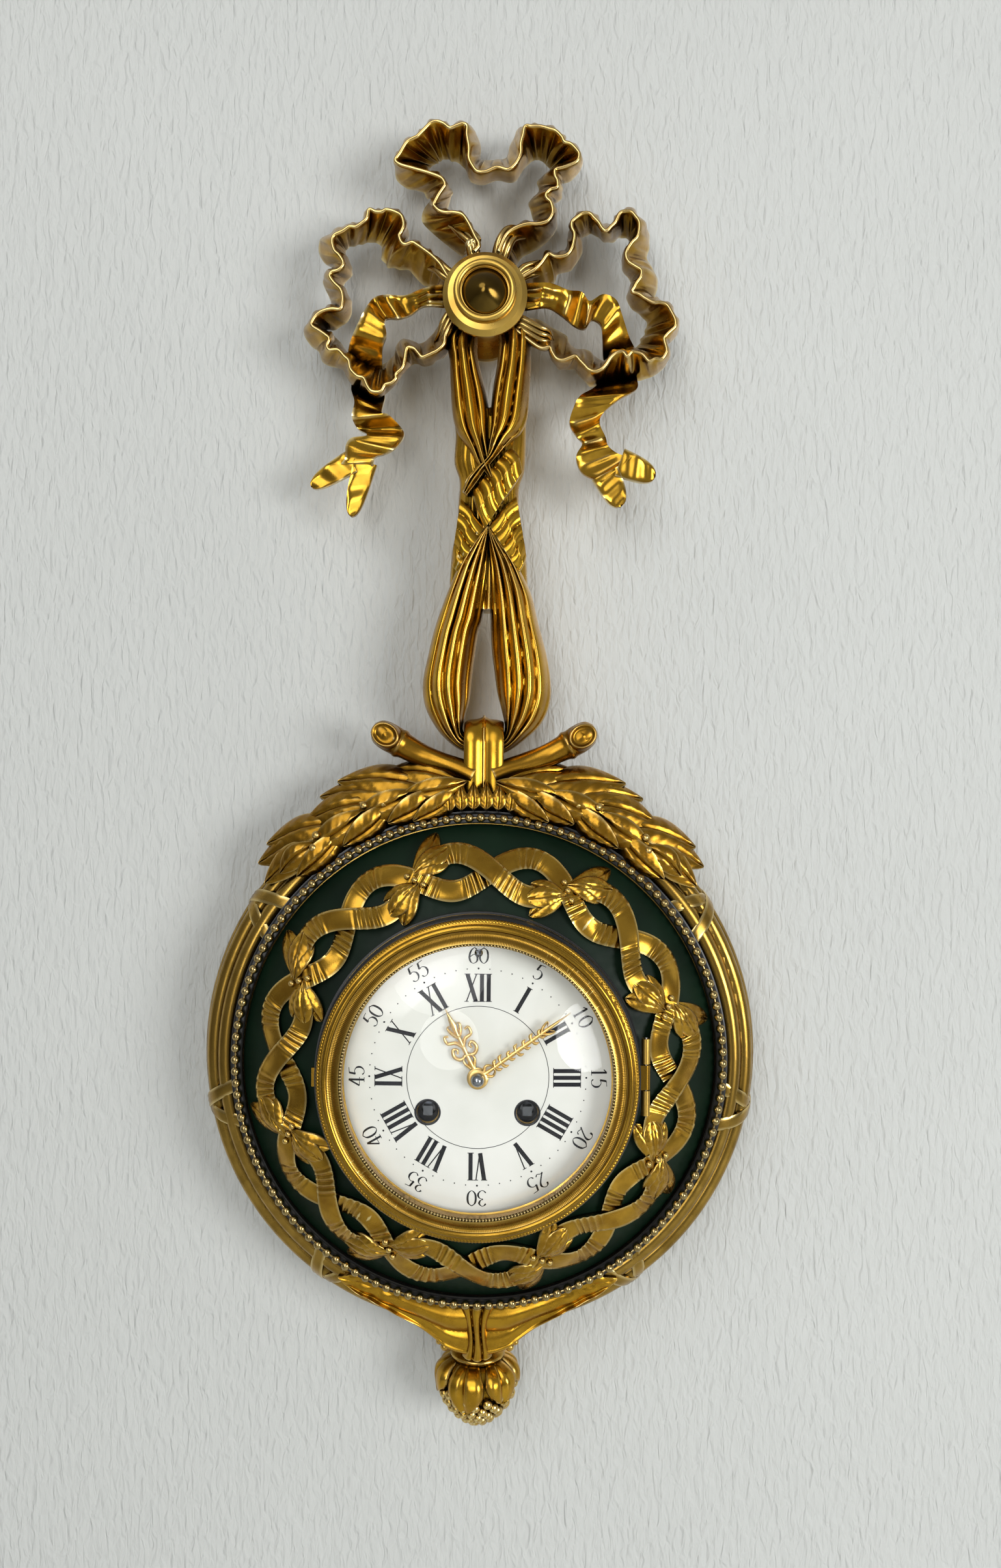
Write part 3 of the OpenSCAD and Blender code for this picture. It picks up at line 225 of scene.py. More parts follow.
def clockwise(flat: Array, degrees: float) -> tuple[Array, Array]:
    """Turn flat places clockwise about the dial's centre.

    Args:
        flat: Places with x and y on the last axis.
        degrees: How far.

    Returns:
        x cos a + y sin a, and y cos a - x sin a.
    """
    c, s = math.cos(math.radians(degrees)), math.sin(math.radians(degrees))
    x, y = flat[..., 0], flat[..., 1]
    return x * c + y * s, y * c - x * s


def sweep(path: Array, across: Array, out: Array, a: Array, b: Array) -> Array:
    """Rings of a section carried along a path.

    Args:
        path: Places along the run.
        across: Unit vectors of the section's first axis.
        out: Unit vectors of the section's second axis.
        a: The section's first coordinates, run x ring.
        b: Its second coordinates.

    Returns:
        path + a across + b out for every place and ring point.
    """
    return path[:, None] + a[..., None] * across[:, None] + b[..., None] * out[:, None]


@dataclass
class Shape:
    """Closed surfaces gathered into one mesh, in millimetres of the wall's frame."""

    points: list[Array] = field(default_factory=list)
    faces: list[list[int]] = field(default_factory=list)
    size: int = 0

    def add(self, points: Array, faces: Array) -> None:
        """Append points and faces.

        Args:
            points: Places, with the coordinates on the last axis.
            faces: Rows of corners that count from the first of these points.
        """
        flat = points.reshape(-1, 3)
        self.points.append(flat)
        self.faces.extend((faces + self.size).tolist())
        self.size += len(flat)

    def tube(self, rings: Array, looped: bool = False) -> "Shape":
        """Quads between neighbouring closed rings, with the two end rings closed by fans.

        Args:
            rings: Array of rings along the first axis, points round each ring on the second.
            looped: Join the last ring to the first, with no end fans.

        Returns:
            This shape.
        """
        n, m = rings.shape[:2]
        i, j = np.arange(n if looped else n - 1)[:, None], np.arange(m)[None, :]
        after, beside = (i + 1) % n, (j + 1) % m
        corners = (i * m + j, i * m + beside, after * m + beside, after * m + j)
        self.add(rings, np.stack(corners, axis=-1).reshape(-1, 4))
        if not looped:
            around = np.arange(m)
            fan = np.stack([around, (around + 1) % m, np.full(m, m)], axis=-1)
            for ring in (rings[0], rings[-1]):
                self.add(np.vstack([ring, ring.mean(axis=0)]), fan)
        return self

    def slab(self, top: Array, bottom: Array, looped: bool = False) -> "Shape":
        """A sheet with thickness: a top grid and a bottom grid joined round their edges."""
        return self.tube(np.concatenate([top, bottom[:, ::-1]], axis=1), looped)

    def plate(self, top: Array, thick: float, looped: bool = False) -> "Shape":
        """A sheet whose bottom is its top grid set that much nearer the wall."""
        return self.slab(top, top - thick * OUT, looped)

    def ball(self, centres: Array, radius: Array, across: int, down: int, pole: float = 0.02) -> "Shape":
        """Small balls of a few dozen faces.

        Args:
            centres: Their middles.
            radius: One radius, or one for each.
            across: Points round.
            down: Rings from pole to pole.
            pole: Angle left open at a pole for the closing fan.

        Returns:
            This shape.
        """
        a = once_round(across)
        e = np.linspace(pole - np.pi / 2, np.pi / 2 - pole, down)[:, None]
        skin = wall(np.cos(e) * np.cos(a), np.cos(e) * np.sin(a), np.sin(e))
        for centre, r in zip(centres, np.broadcast_to(radius, len(centres))):
            self.tube(skin * r + centre)
        return self

    def make(self, name: str, finish: bpy.types.Material, hides: Sequence[str] = (), slot: Slot = Slot.GILT,
             body: Body = Body.CASE, sharp: float = 50.0) -> None:
        """Put the gathered surfaces into one object at the origin, hang it on its body and hide the CAD nodes it stands
        for.

        Args:
            name: Piece name.
            finish: Its material.
            hides: CAD nodes that it stands for.
            slot: Material slot; not used.
            body: Body it rides on.
            sharp: Edges that turn more than these degrees stay sharp.
        """
        p = np.concatenate(self.points) / MM_PER_METRE
        mesh = bpy.data.meshes.new(name)
        mesh.from_pydata(np.stack([p[:, 0], -p[:, 2], p[:, 1]], axis=-1), [], self.faces)
        work = bmesh.new()
        work.from_mesh(mesh)
        bmesh.ops.remove_doubles(work, verts=work.verts, dist=WELD_METRES)
        bmesh.ops.recalc_face_normals(work, faces=work.faces)
        work.to_mesh(mesh)
        work.free()
        mesh.polygons.foreach_set("use_smooth", np.ones(len(mesh.polygons), dtype=bool))
        mesh.set_sharp_from_angle(angle=math.radians(sharp))
        mesh.materials.append(finish)
        piece = bpy.data.objects.new(name, mesh)
        bpy.context.scene.collection.objects.link(piece)
        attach(piece, body.value)
        if hides:
            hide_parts(*hides)
        log.info("%s: %d faces on %s", name, len(mesh.polygons), body.value)


@dataclass(frozen=True)
class Leaf:
    """A leaf with a sunk midrib and slanting veins.

    With s from root to tip and t from edge to edge, its half width is W / 2 sin(pi s^belly)^taper and its
    height over the root-tip line is lift sin(pi s^0.9) + curl s^3, less a droop towards the edges and a
    groove at the midrib.
    """

    width: float
    lift: float
    curl: float
    thick: float
    bend: float = 0.0
    belly: float = 1.0
    taper: float = 0.7
    stub: float = 0.06
    droop: float = 0.16
    groove: float = 0.075
    groove_width: float = 0.13
    vein_height: float = 0.0572
    veins: float = 6.0
    vein_slant: float = 1.2
    thin_edge: float = 0.35

    def grids(self, root: Sequence[float], tip: Sequence[float], out: Sequence[float]) -> tuple[Array, Array]:
        """Top and bottom grids.

        Args:
            root: Where it springs from.
            tip: Where it ends.
            out: Rough direction that its face looks.

        Returns:
            The top grid and the bottom grid.
        """
        start, end = np.asarray(root, float), np.asarray(tip, float)
        along = unit(end - start)
        side = unit(np.cross(np.asarray(out, float), along))
        face = np.cross(along, side)
        s, t = share_of(23), share_of(15, -1.0).T
        edge = np.abs(t)
        wide = 0.5 * self.width * (self.stub + (1 - self.stub) * np.sin(np.pi * s**self.belly) ** self.taper)
        veins = self.vein_height * wave(self.veins * s + self.vein_slant * edge) * edge * (1 - edge)
        droop = self.droop * edge**2.2 * np.sin(np.pi * s) + self.groove * bell(t, 0.0, self.groove_width)
        high = self.lift * np.sin(np.pi * s**0.9) + self.curl * s**3 + self.width * (veins - droop)
        line = start + (end - start) * s[..., None] + side * (self.bend * np.sin(np.pi * s))[..., None]
        top = line + side * (wide * t)[..., None] + face * high[..., None]
        thick = self.thick * (self.thin_edge + (1 - self.thin_edge) * (1 - t**2))
        return top, top - face * thick[..., None]


@dataclass(frozen=True)
class Cloth:
    """Gathered cloth between two edges, given top to bottom.

    Between the edges a and b a point is a (1 - p) + b p. Its face stands at m + d sin(pi p)^0.6, with m and d
    the middle and half of the front and back heights, raised by round folds
    high |sin(pi (folds p + drift s))|^0.75 that lie lower where the cloth is narrow.
    """

    outer: Rows
    inner: Rows
    front: Sequence[float]
    back: Sequence[float]
    folds: float
    high: float
    drift: float = 0.0
    samples: int = 130
    columns: int = 49
    full_fold_mm: float = 3.2

    def hang(self, shape: Shape) -> None:
        """Add the cloth.

        Args:
            shape: Where it goes.
        """
        a, b = spline(self.outer, self.samples, 2), spline(self.inner, self.samples, 2)
        p, s = share_of(self.columns).T, share_of(self.samples)
        flat = between(a, b, p)
        top, low = (np.interp(s, np.linspace(0, 1, len(z)), z) for z in (self.front, self.back))
        swell = 0.5 * (top - low) * np.sin(np.pi * p) ** 0.6
        wide = np.clip(np.linalg.norm(a - b, axis=1)[:, None] / (self.full_fold_mm * self.folds), 0.15, 1.0)
        fold = np.abs(np.sin(np.pi * (self.folds * p + self.drift * s + 0.1 * np.sin(6 * s)))) ** 0.75 - 0.5
        crest = self.high * wide * fold * np.sin(np.pi * p) ** 0.35
        middle = 0.5 * (top + low)
        shape.slab(raised(flat, middle + swell + crest), raised(flat, middle - swell))


def color(hex_code: str) -> tuple[float, float, float, float]:
    """Linear colour of an sRGB hex code.

    Args:
        hex_code: Six hex digits after a hash.

    Returns:
        Linear red, green, blue and 1.
    """
    parts = [int(hex_code[i:i + 2], 16) / 255 for i in (1, 3, 5)]
    return tuple(c / 12.92 if c <= 0.04045 else ((c + 0.055) / 1.055) ** 2.4 for c in parts) + (1.0,)


class Nodes:
    """The node tree of a material or a world, with one way to add a node to it."""

    def __init__(self, name: str, kind: str = "materials") -> None:
        """Start an empty tree.

        Args:
            name: Name of the material or the world.
            kind: Which of Blender's collections it goes to.
        """
        self.owner = getattr(bpy.data, kind).new(name)
        self.owner.use_nodes = True
        self.tree = self.owner.node_tree
        self.tree.nodes.clear()
        self.coords = self.add("ShaderNodeTexCoord").outputs
        self.place = self.coords["Object"]

    def add(self, kind: str, values: dict | None = None, **settings) -> bpy.types.Node:
        """Add a node, set its properties, and set or link its inputs.

        Args:
            kind: Node type.
            values: Input names or numbers to constants or to sockets.
            settings: Node properties.

        Returns:
            The node.
        """
        node = self.tree.nodes.new(kind)
        for key, value in settings.items():
            setattr(node, key, value)
        for key, value in (values or {}).items():
            if isinstance(value, Socket):
                self.tree.links.new(value, node.inputs[key])
            else:
                node.inputs[key].default_value = value
        return node

    def noise(self, size_mm: float, detail: float = 3.0) -> Socket:
        """Noise whose lumps are about that many millimetres."""
        scale = MM_PER_METRE / size_mm
        return self.add("ShaderNodeTexNoise", {"Vector": self.place, "Scale": scale, "Detail": detail}).outputs["Fac"]

    def strokes(self, size_mm: float, squeeze: tuple[float, float, float]) -> Socket:
        """Wandering noise that is drawn out along some axes.

        Args:
            size_mm: Size of its lumps.
            squeeze: Scale of each axis; below 1 draws out.

        Returns:
            Its value.
        """
        place = self.add("ShaderNodeMapping", {"Vector": self.place, "Scale": squeeze}).outputs[0]
        return self.add("ShaderNodeTexNoise", {"Vector": place, "Scale": MM_PER_METRE / size_mm, "Detail": 2.0,
                                               "Distortion": 0.6}).outputs["Fac"]

    def steps(self, value: Socket, low: float, high: float, a: float = 0.0, b: float = 1.0) -> Socket:
        """Map a value from low..high to a..b, held at the ends."""
        return self.add("ShaderNodeMapRange", {0: value, 1: low, 2: high, 3: a, 4: b}).outputs[0]

    def blend(self, share: Socket, a: Socket | tuple, b: Socket | tuple) -> Socket:
        """Mix two colours by a share."""
        return self.add("ShaderNodeMix", {0: share, 6: a, 7: b}, data_type="RGBA").outputs[2]

    def clouds(self, cloud: Socket, high: float, face: str, shade: str) -> Socket:
        """A face colour that clouds over to a shade where the noise is high."""
        return self.blend(self.steps(cloud, 0.35, high), color(face), color(shade))

    def larger(self, a: Socket, b: Socket, **settings) -> Socket:
        """The larger of two values."""
        return self.add("ShaderNodeMath", {0: a, 1: b}, operation="MAXIMUM", **settings).outputs[0]

    def bump(self, height: Socket, depth_mm: float, strength: float, under: Socket | None = None) -> Socket:
        """Bump of a height, laid over an optional lower bump.

        Args:
            height: Value that gives the relief.
            depth_mm: Its depth.
            strength: Share of it that shows.
            under: Normal of the lower bump.

        Returns:
            The normal.
        """
        values = {"Height": height, "Distance": depth_mm / MM_PER_METRE, "Strength": strength}
        if under is not None:
            values["Normal"] = under
        return self.add("ShaderNodeBump", values).outputs["Normal"]

    def close(self, values: dict, clear_share: Socket | None = None, tint: tuple = (1, 1, 1, 1)) -> bpy.types.Material:
        """Finish with one Principled surface of these inputs.

        Args:
            values: Its inputs.
            clear_share: Where given, how far the surface gives way to a clear one.
            tint: Colour of the clear one.

        Returns:
            The material.
        """
        surface = self.add("ShaderNodeBsdfPrincipled", values).outputs[0]
        if clear_share is not None:
            clear = self.add("ShaderNodeBsdfTransparent", {"Color": tint}).outputs[0]
            surface = self.add("ShaderNodeMixShader", {0: clear_share, 1: surface, 2: clear}).outputs[0]
        self.add("ShaderNodeOutputMaterial", {"Surface": surface})
        return self.owner


@dataclass(frozen=True)
class Gilding:
    """Fire-gilt bronze: warm faces, edges painted pale as wear and highlight, painted shade with brown patina in the
    recesses.
    """

    name: str = "fire_gilt_bronze"
    face: str = "#c2952e"
    rubbed: str = "#f2da96"
    recess: str = "#2a1c06"
    worn: str = "#a57b22"
    gloss: tuple[float, float] = (0.19, 0.33)
    tooth_mm: float = 0.9
    reach_mm: float = 9.0
    satin: float = 0.018
    cloud_mm: float = 9.0

    def build(self) -> bpy.types.Material:
        """Noise varies tone and gloss, occlusion paints shade with patina into recesses, pointed edges get painted
        highlight and wear.

        Returns:
            The material.
        """
        n = Nodes(self.name)
        cloud, grain = n.noise(self.cloud_mm, 4.0), n.noise(self.tooth_mm, 2.0)
        reach = {"Distance": self.reach_mm / MM_PER_METRE}
        # Painted shade with brown patina: occlusion browns recesses and the places under overhangs.
        open_sky = n.add("ShaderNodeAmbientOcclusion", reach, samples=6).outputs["AO"]
        # Painted highlight with rubbed wear: pointed edges are coloured pale.
        edge = n.steps(n.add("ShaderNodeNewGeometry").outputs["Pointiness"], 0.52, 0.62)
        bright = n.blend(edge, n.clouds(cloud, 0.7, self.face, self.worn), color(self.rubbed))
        tone = n.blend(n.steps(open_sky, 0.2, 0.85), color(self.recess), bright)
        return n.close({"Base Color": tone, "Metallic": 1.0, "Roughness": n.steps(cloud, 0.3, 0.75, *self.gloss),
                        "Normal": n.bump(grain, self.satin, 0.6)})


@dataclass(frozen=True)
class TurnedMetal:
    """Lathe-turned or cut metal with fine rings of tool marks round an axis out of the wall."""

    name: str
    face: str
    shade: str
    gloss: tuple[float, float]
    ring_mm: float = 0.35
    centre_mm: float = -CASE_DROP
    depth_mm: float = 0.015
    cloud_mm: float = 12.0

    def build(self) -> bpy.types.Material:
        """Rings round the axis, with tarnish clouds; the wave's scale has 20 rings to the unit, so 50 / mm.

        Returns:
            The material.
        """
        n = Nodes(self.name)
        shift = {"Vector": n.place, "Location": (0, 0, -self.centre_mm / MM_PER_METRE), "Scale": (1, 0, 1)}
        rings = {"Vector": n.add("ShaderNodeMapping", shift).outputs[0], "Scale": 50.0 / self.ring_mm,
                 "Distortion": 0.4, "Detail": 1.0}
        marks = n.add("ShaderNodeTexWave", rings, wave_type="RINGS", rings_direction="SPHERICAL").outputs["Fac"]
        cloud = n.noise(self.cloud_mm, 4.0)
        return n.close({"Base Color": n.clouds(cloud, 0.72, self.face, self.shade), "Metallic": 1.0,
                        "Roughness": n.steps(cloud, 0.3, 0.7, *self.gloss),
                        "Normal": n.bump(marks, self.depth_mm, 0.7)})


@dataclass(frozen=True)
class Lacquer:
    """Lacquered or painted metal: deep colour under a soft gloss with faint orange peel."""

    name: str
    deep: str
    light: str
    rough: tuple[float, float]
    coat: float = 0.0
    peel_mm: float = 0.012
    shine: float = 0.3
    cloud_mm: float = 22.0

    def build(self) -> bpy.types.Material:
        """Cloudy colour, varied gloss and a shallow orange-peel bump.

        Returns:
            The material.
        """
        n = Nodes(self.name)
        tone = n.clouds(n.noise(self.cloud_mm, 4.0), 0.7, self.deep, self.light)
        return n.close({"Base Color": tone, "Roughness": n.steps(n.noise(5.0), 0.3, 0.7, *self.rough),
                        "Specular IOR Level": self.shine, "Coat Weight": self.coat, "Coat Roughness": 0.12,
                        "Normal": n.bump(n.noise(2.2, 1.0), self.peel_mm, 0.5)})


@dataclass(frozen=True)
class Enamel:
    """Vitreous enamel: milky white, wet gloss, and a faint waviness from the kiln."""

    name: str = "white_vitreous_enamel"
    face: str = "#e9e8e2"
    shade: str = "#dcdcd4"
    rough: tuple[float, float] = (0.16, 0.26)

    def build(self) -> bpy.types.Material:
        """White clouds under a clear coat with long shallow waves.

        Returns:
            The material.
        """
        n = Nodes(self.name)
        tone = n.clouds(n.noise(30.0), 0.7, self.face, self.shade)
        return n.close({"Base Color": tone, "Roughness": n.steps(n.noise(6.0), 0.3, 0.7, *self.rough),
                        "Coat Weight": 0.5, "Coat Roughness": 0.04, "Normal": n.bump(n.noise(9.0, 1.0), 0.02, 0.4)})


@dataclass(frozen=True)
class Glazing:
    """Blown clock glass: clear, with a faint waviness and weak reflections of the lamps."""

    name: str = "domed_clear_glass"
    reflection: float = 0.3
    tint: tuple[float, float, float, float] = (0.96, 0.97, 0.965, 1)

    def build(self) -> bpy.types.Material:
        """A clear glass surface that lets light through to the dial without a dark shadow.

        Returns:
            The material.
        """
        n = Nodes(self.name)
        path = n.add("ShaderNodeLightPath").outputs
        return n.close({"Base Color": (1, 1, 1, 1), "Roughness": 0.015, "IOR": 1.45, "Transmission Weight": 1.0,
                        "Specular Tint": (self.reflection,) * 3 + (1,),
                        "Normal": n.bump(n.noise(25.0, 1.0), 0.02, 0.3)},
                       n.larger(path["Is Shadow Ray"], path["Is Diffuse Ray"]), self.tint)


@dataclass(frozen=True)
class MattPaint:
    """Matt paint over drawn-out plaster strokes; it may be clear to whoever looks from behind and to a lamp there."""

    name: str
    see_through: bool = False
    tone: str = "#c0c2bf"
    shade: str = "#bbbdba"
    rough: float = 0.85

    def build(self) -> bpy.types.Material:
        """Faint clouds of tone, with fine upright strokes laid over long shallow waves.

        Returns:
            The material.
        """
        n = Nodes(self.name)
        tone = n.blend(n.steps(n.noise(300.0), 0.3, 0.7), color(self.tone), color(self.shade))
        relief = n.bump(n.strokes(3.0, (1.0, 1.0, 0.3)), 1.5, 1.0, n.bump(n.noise(30.0, 2.0), 1.2, 0.4))
        gone = None
        if self.see_through:
            path = n.add("ShaderNodeLightPath").outputs
            lit = n.larger(path["Is Shadow Ray"], path["Transparent Depth"])
            gone = n.larger(n.add("ShaderNodeNewGeometry").outputs["Backfacing"], lit, use_clamp=True)
        return n.close({"Base Color": tone, "Roughness": self.rough, "Normal": relief}, gone)


class Palette:
    """All finishes of the clock, made once."""

    def __init__(self) -> None:
        """Build each finish."""
        # Fire-gilt bronze: warm yellow swells with painted highlight and wear on the crests and painted shade with
        # patina in the folds.
        self.gilt = Gilding().build()
        # Gilt ribbon: a thin bright edge, partly painted highlight, over pleats with painted shade that browns them
        # towards the wall.
        self.bow = Gilding("bow_gilt_bronze", "#bd9232", "#f8e6b0", "#342305", "#997323", (0.17, 0.3), 0.9, 13.0,
                           0.012).build()
        # Gilt leaves: a browner gold, and painted shade where leaves overlap, so that each leaf stands off the one
        # behind.
        self.laurel = Gilding("leaf_gilt_bronze", "#9f7626", "#e6ca84", "#241704", "#815c19", (0.22, 0.36), 0.9, 12.0,
                              0.02).build()
        # Chased gilt bronze: a clear gold that glints against the dark panel.
        self.wreath = Gilding("chased_gilt_bronze", "#b98f34", "#f0d894", "#261804", "#946d22", (0.2, 0.34), 0.8, 5.0,
                              0.02).build()
        # Gilt reeds: a paler, greyer gold in long streaks, with painted shade in the dark lines between.
        self.reeds = Gilding("reeded_gilt_bronze", "#a9873f", "#f0d898", "#241804", "#86692c", (0.18, 0.32), 0.8, 6.0,
                             0.02).build()
        # Old brass beads: dull points of light, partly painted highlight, with painted shade between them, on black.
        self.beads = Gilding("antique_brass_beads", "#94804f", "#d0ba88", "#241c10", "#75633a", (0.14, 0.26), 0.5,
                             1.2, 0.01).build()
        # Patinated bronze: a dark brown mirror on the cap.
        self.cap = TurnedMetal("patinated_bronze", "#6a5424", "#4c3a18", (0.12, 0.2), 0.6, 0.0, 0.006).build()
        # Turned gilt bronze: a pale satin disc with lathe rings.
        self.boss = TurnedMetal("turned_gilt_bronze", "#c9a653", "#b08e42", (0.24, 0.36), 0.5, 0.0, 0.015).build()
        # Turned gilt bezel: bright rings of light round the dial.
        self.bezel = TurnedMetal("turned_gilt_bezel", "#a6802e", "#886620", (0.18, 0.3), 0.45,
                                 depth_mm=0.012).build()
        # Cut gilt hollow: a softer gold band with fine dark cuts.
        self.cut = Gilding("cut_gilt_bezel", "#9a7630", "#d0ae60", "#2c1e09", "#80611f", (0.26, 0.38), 0.5, 2.0,
                           0.01).build()
        # Lacquered brass: the even yellow of the movement and the case.
        self.brass = TurnedMetal("lacquered_clock_brass", "#c9a757", "#b08c42", (0.24, 0.38)).build()
        # Gilt hands: light gold that reads against the white dial.
        self.hands = Gilding("gilt_clock_hands", "#d0a75c", "#f0d594", "#5f4218", "#bb9148", (0.26, 0.4), 0.5, 1.5,
                             0.01).build()
        # Polished steel: cool grey arbors and screws.
        self.steel = TurnedMetal("polished_clock_steel", "#9da1a6", "#84888e", (0.14, 0.26), 0.3,
                                 depth_mm=0.01).build()
        # Green lacquer: nearly black, with a soft green sheen.
        self.green = Lacquer("green_lacquered_panel", "#07160c", "#0c1f12", (0.42, 0.55), shine=0.14).build()
        # Black lacquer: a smooth dark rim with one soft streak of light.
        self.black = Lacquer("black_lacquered_moulding", "#0c0c0c", "#151514", (0.3, 0.4), peel_mm=0.001,
                             shine=0.5).build()
        # Fired black: crisp numerals with a slight gloss.
        self.ink = Lacquer("fired_black_numerals", "#0c0d12", "#16171d", (0.3, 0.4), 0.1).build()
        # Vitreous enamel: milky white with a wet gloss.
        self.enamel = Enamel().build()
        # Clock glass: shows the dial, with pale patches of lamp light.
        self.glass = Glazing().build()


@dataclass
class Part:
    """A sub-assembly that is dressed from the palette."""

    palette: Palette


# Ribbon rails: front ridge x y, outer back edge x y, inner back edge x y.
TOP_RAILS = (
    (-5, 22, -11, 28, -4, 32), (-3, 25, -12, 28, -3, 32), (-5, 29, -20, 34, -6, 37), (-8, 35, -26, 39, -9, 42),
    (-11, 39, -30, 43, -13, 46), (-15, 40, -31, 46, -17, 48), (-19, 40, -30, 50, -20, 49),
    (-22, 41, -28, 53, -19, 50), (-24, 43, -27, 54, -18, 52), (-24, 44, -26, 55, -17, 56),
    (-22, 48, -28, 55, -16, 58), (-20, 51, -29, 56, -17, 60), (-19, 53, -30, 58, -19, 62),
    (-21, 56, -33, 59, -21, 65), (-26, 58, -38, 60, -27, 68), (-33, 60, -43, 64, -27, 70),
    (-40, 62, -44, 70, -27, 70), (-42, 64, -44, 72, -26, 71), (-40, 67, -42, 75, -26, 71),
    (-37, 72, -39, 81, -24, 72), (-34, 74, -36, 83, -23, 72), (-32, 75, -33, 84, -23, 73),
    (-29, 78, -30, 87, -22, 73), (-26, 81, -28, 90, -21, 74), (-23, 82, -24, 91, -20, 74),
    (-20, 81, -21, 90, -18, 74), (-17, 79, -18, 88, -17, 73), (-14, 80, -14, 90, -15, 73),
    (-11, 81, -10, 91, -13, 72), (-9, 80, -7, 89, -12, 71), (-9, 76, -5, 86, -10, 69), (-8, 70, -3, 81, -9, 66),
    (-8, 65, -3, 76, -8, 64), (-6, 61, -3, 74, -7, 63), (-4, 59, -1, 74, -4, 62), (0, 59, 1, 74, -1, 62),
    (5, 61, 5, 74, 5, 64), (10, 60, 9, 75, 11, 63), (13, 62, 10, 77, 14, 64), (15, 65, 11, 81, 16, 67),
    (16, 68, 13, 85, 18, 70), (16, 72, 14, 88, 20, 72), (17, 76, 16, 90, 21, 73), (18, 80, 18, 90, 23, 74),
    (21, 80, 22, 89, 24, 74), (25, 80, 26, 89, 25, 74), (29, 79, 30, 89, 27, 73), (32, 78, 33, 87, 28, 72),
    (35, 75, 36, 84, 28, 72), (36, 73, 37, 82, 29, 71), (39, 72, 40, 80, 30, 70), (42, 69, 44, 78, 30, 69),
    (43, 67, 45, 74, 30, 69), (42, 64, 45, 70, 30, 69), (38, 62, 43, 67, 30, 69), (35, 61, 40, 64, 29, 68),
    (32, 60, 37, 63, 28, 67), (32, 57, 36, 63, 25, 65), (33, 55, 36, 62, 24, 63), (33, 52, 36, 59, 25, 60),
    (30, 51, 36, 56, 24, 58), (28, 49, 34, 54, 21, 55), (28, 47, 32, 53, 20, 53), (30, 45, 32, 51, 21, 50),
    (31, 41, 33, 47, 22, 46), (30, 38, 34, 43, 23, 44), (28, 36, 33, 40, 22, 43), (24, 35, 31, 37, 20, 43),
    (20, 35, 27, 33, 17, 43), (16, 34, 22, 30, 13, 41), (12, 32, 18, 28, 10, 39), (9, 29, 16, 26, 7, 36),
    (6, 22, 14, 22, 4, 30))
LEFT_RAILS = (
    (-12, 6, -12, 14, -16, 8), (-17, 10, -18, 19, -22, 11), (-21, 16, -23, 24, -26, 13), (-25, 20, -27, 29, -30, 14),
    (-29, 23, -30, 32, -34, 18), (-32, 25, -33, 34, -37, 21), (-34, 26, -35, 34, -41, 21),
    (-37, 25, -37, 34, -44, 22), (-39, 26, -37, 36, -47, 22), (-40, 29, -37, 39, -48, 24),
    (-39, 31, -38, 42, -50, 26), (-38, 34, -39, 45, -50, 29), (-39, 38, -40, 46, -50, 32),
    (-42, 40, -43, 48, -51, 33), (-46, 41, -47, 49, -53, 34), (-48, 40, -50, 48, -54, 34),
    (-51, 40, -54, 48, -56, 34), (-54, 41, -57, 49, -57, 34), (-55, 37, -58, 45, -59, 33),
    (-57, 35, -61, 43, -61, 33), (-60, 33, -65, 42, -63, 32), (-63, 33, -68, 42, -65, 32),
    (-66, 31, -72, 40, -66, 31), (-70, 29, -75, 38, -67, 30), (-71, 26, -79, 36, -67, 28),
    (-70, 22, -80, 33, -66, 27), (-68, 20, -80, 29, -65, 24), (-66, 17, -78, 25, -64, 22),
    (-66, 15, -76, 23, -64, 20), (-68, 13, -74, 22, -64, 18), (-71, 12, -75, 21, -67, 15),
    (-72, 10, -77, 18, -68, 13), (-70, 7, -78, 15, -68, 11), (-67, 4, -77, 12, -66, 9), (-66, 1, -75, 8, -64, 6),
    (-66, -2, -74, 5, -64, 4), (-67, -5, -74, 3, -64, 0), (-71, -5, -76, 3, -66, -4), (-75, -6, -79, 1, -69, -6),
    (-78, -8, -83, -3, -72, -8), (-80, -11, -86, -6, -75, -8), (-80, -13, -87, -9, -77, -8),
    (-77, -15, -86, -12, -76, -8), (-74, -17, -83, -16, -74, -9), (-72, -19, -80, -18, -73, -10),
    (-73, -22, -79, -20, -71, -12), (-72, -24, -78, -23, -69, -14), (-68, -24, -75, -25, -67, -17),
    (-65, -27, -71, -26, -65, -19), (-63, -29, -68, -27, -62, -21), (-62, -33, -66, -31, -59, -22),
    (-59, -36, -63, -35, -56, -24), (-56, -37, -60, -38, -54, -24), (-54, -41, -57, -39, -52, -24),
    (-52, -43, -53, -41, -50, -24), (-48, -43, -50, -40, -49, -24), (-46, -40, -47, -38, -47, -23),
    (-43, -39, -43, -34, -46, -22), (-41, -37, -41, -31, -44, -20), (-41, -35, -39, -28, -43, -18),
    (-38, -32, -37, -26, -43, -16), (-37, -28, -36, -25, -42, -14), (-36, -23, -34, -24, -40, -12),
    (-33, -23, -32, -24, -37, -12), (-31, -25, -30, -25, -34, -13), (-29, -27, -28, -25, -32, -14),
    (-26, -26, -25, -24, -29, -13), (-24, -25, -23, -22, -27, -11), (-22, -24, -20, -21, -25, -9),
    (-19, -21, -19, -20, -23, -6), (-18, -16, -17, -18, -21, -3), (-14, -9, -13, -11, -17, -1))
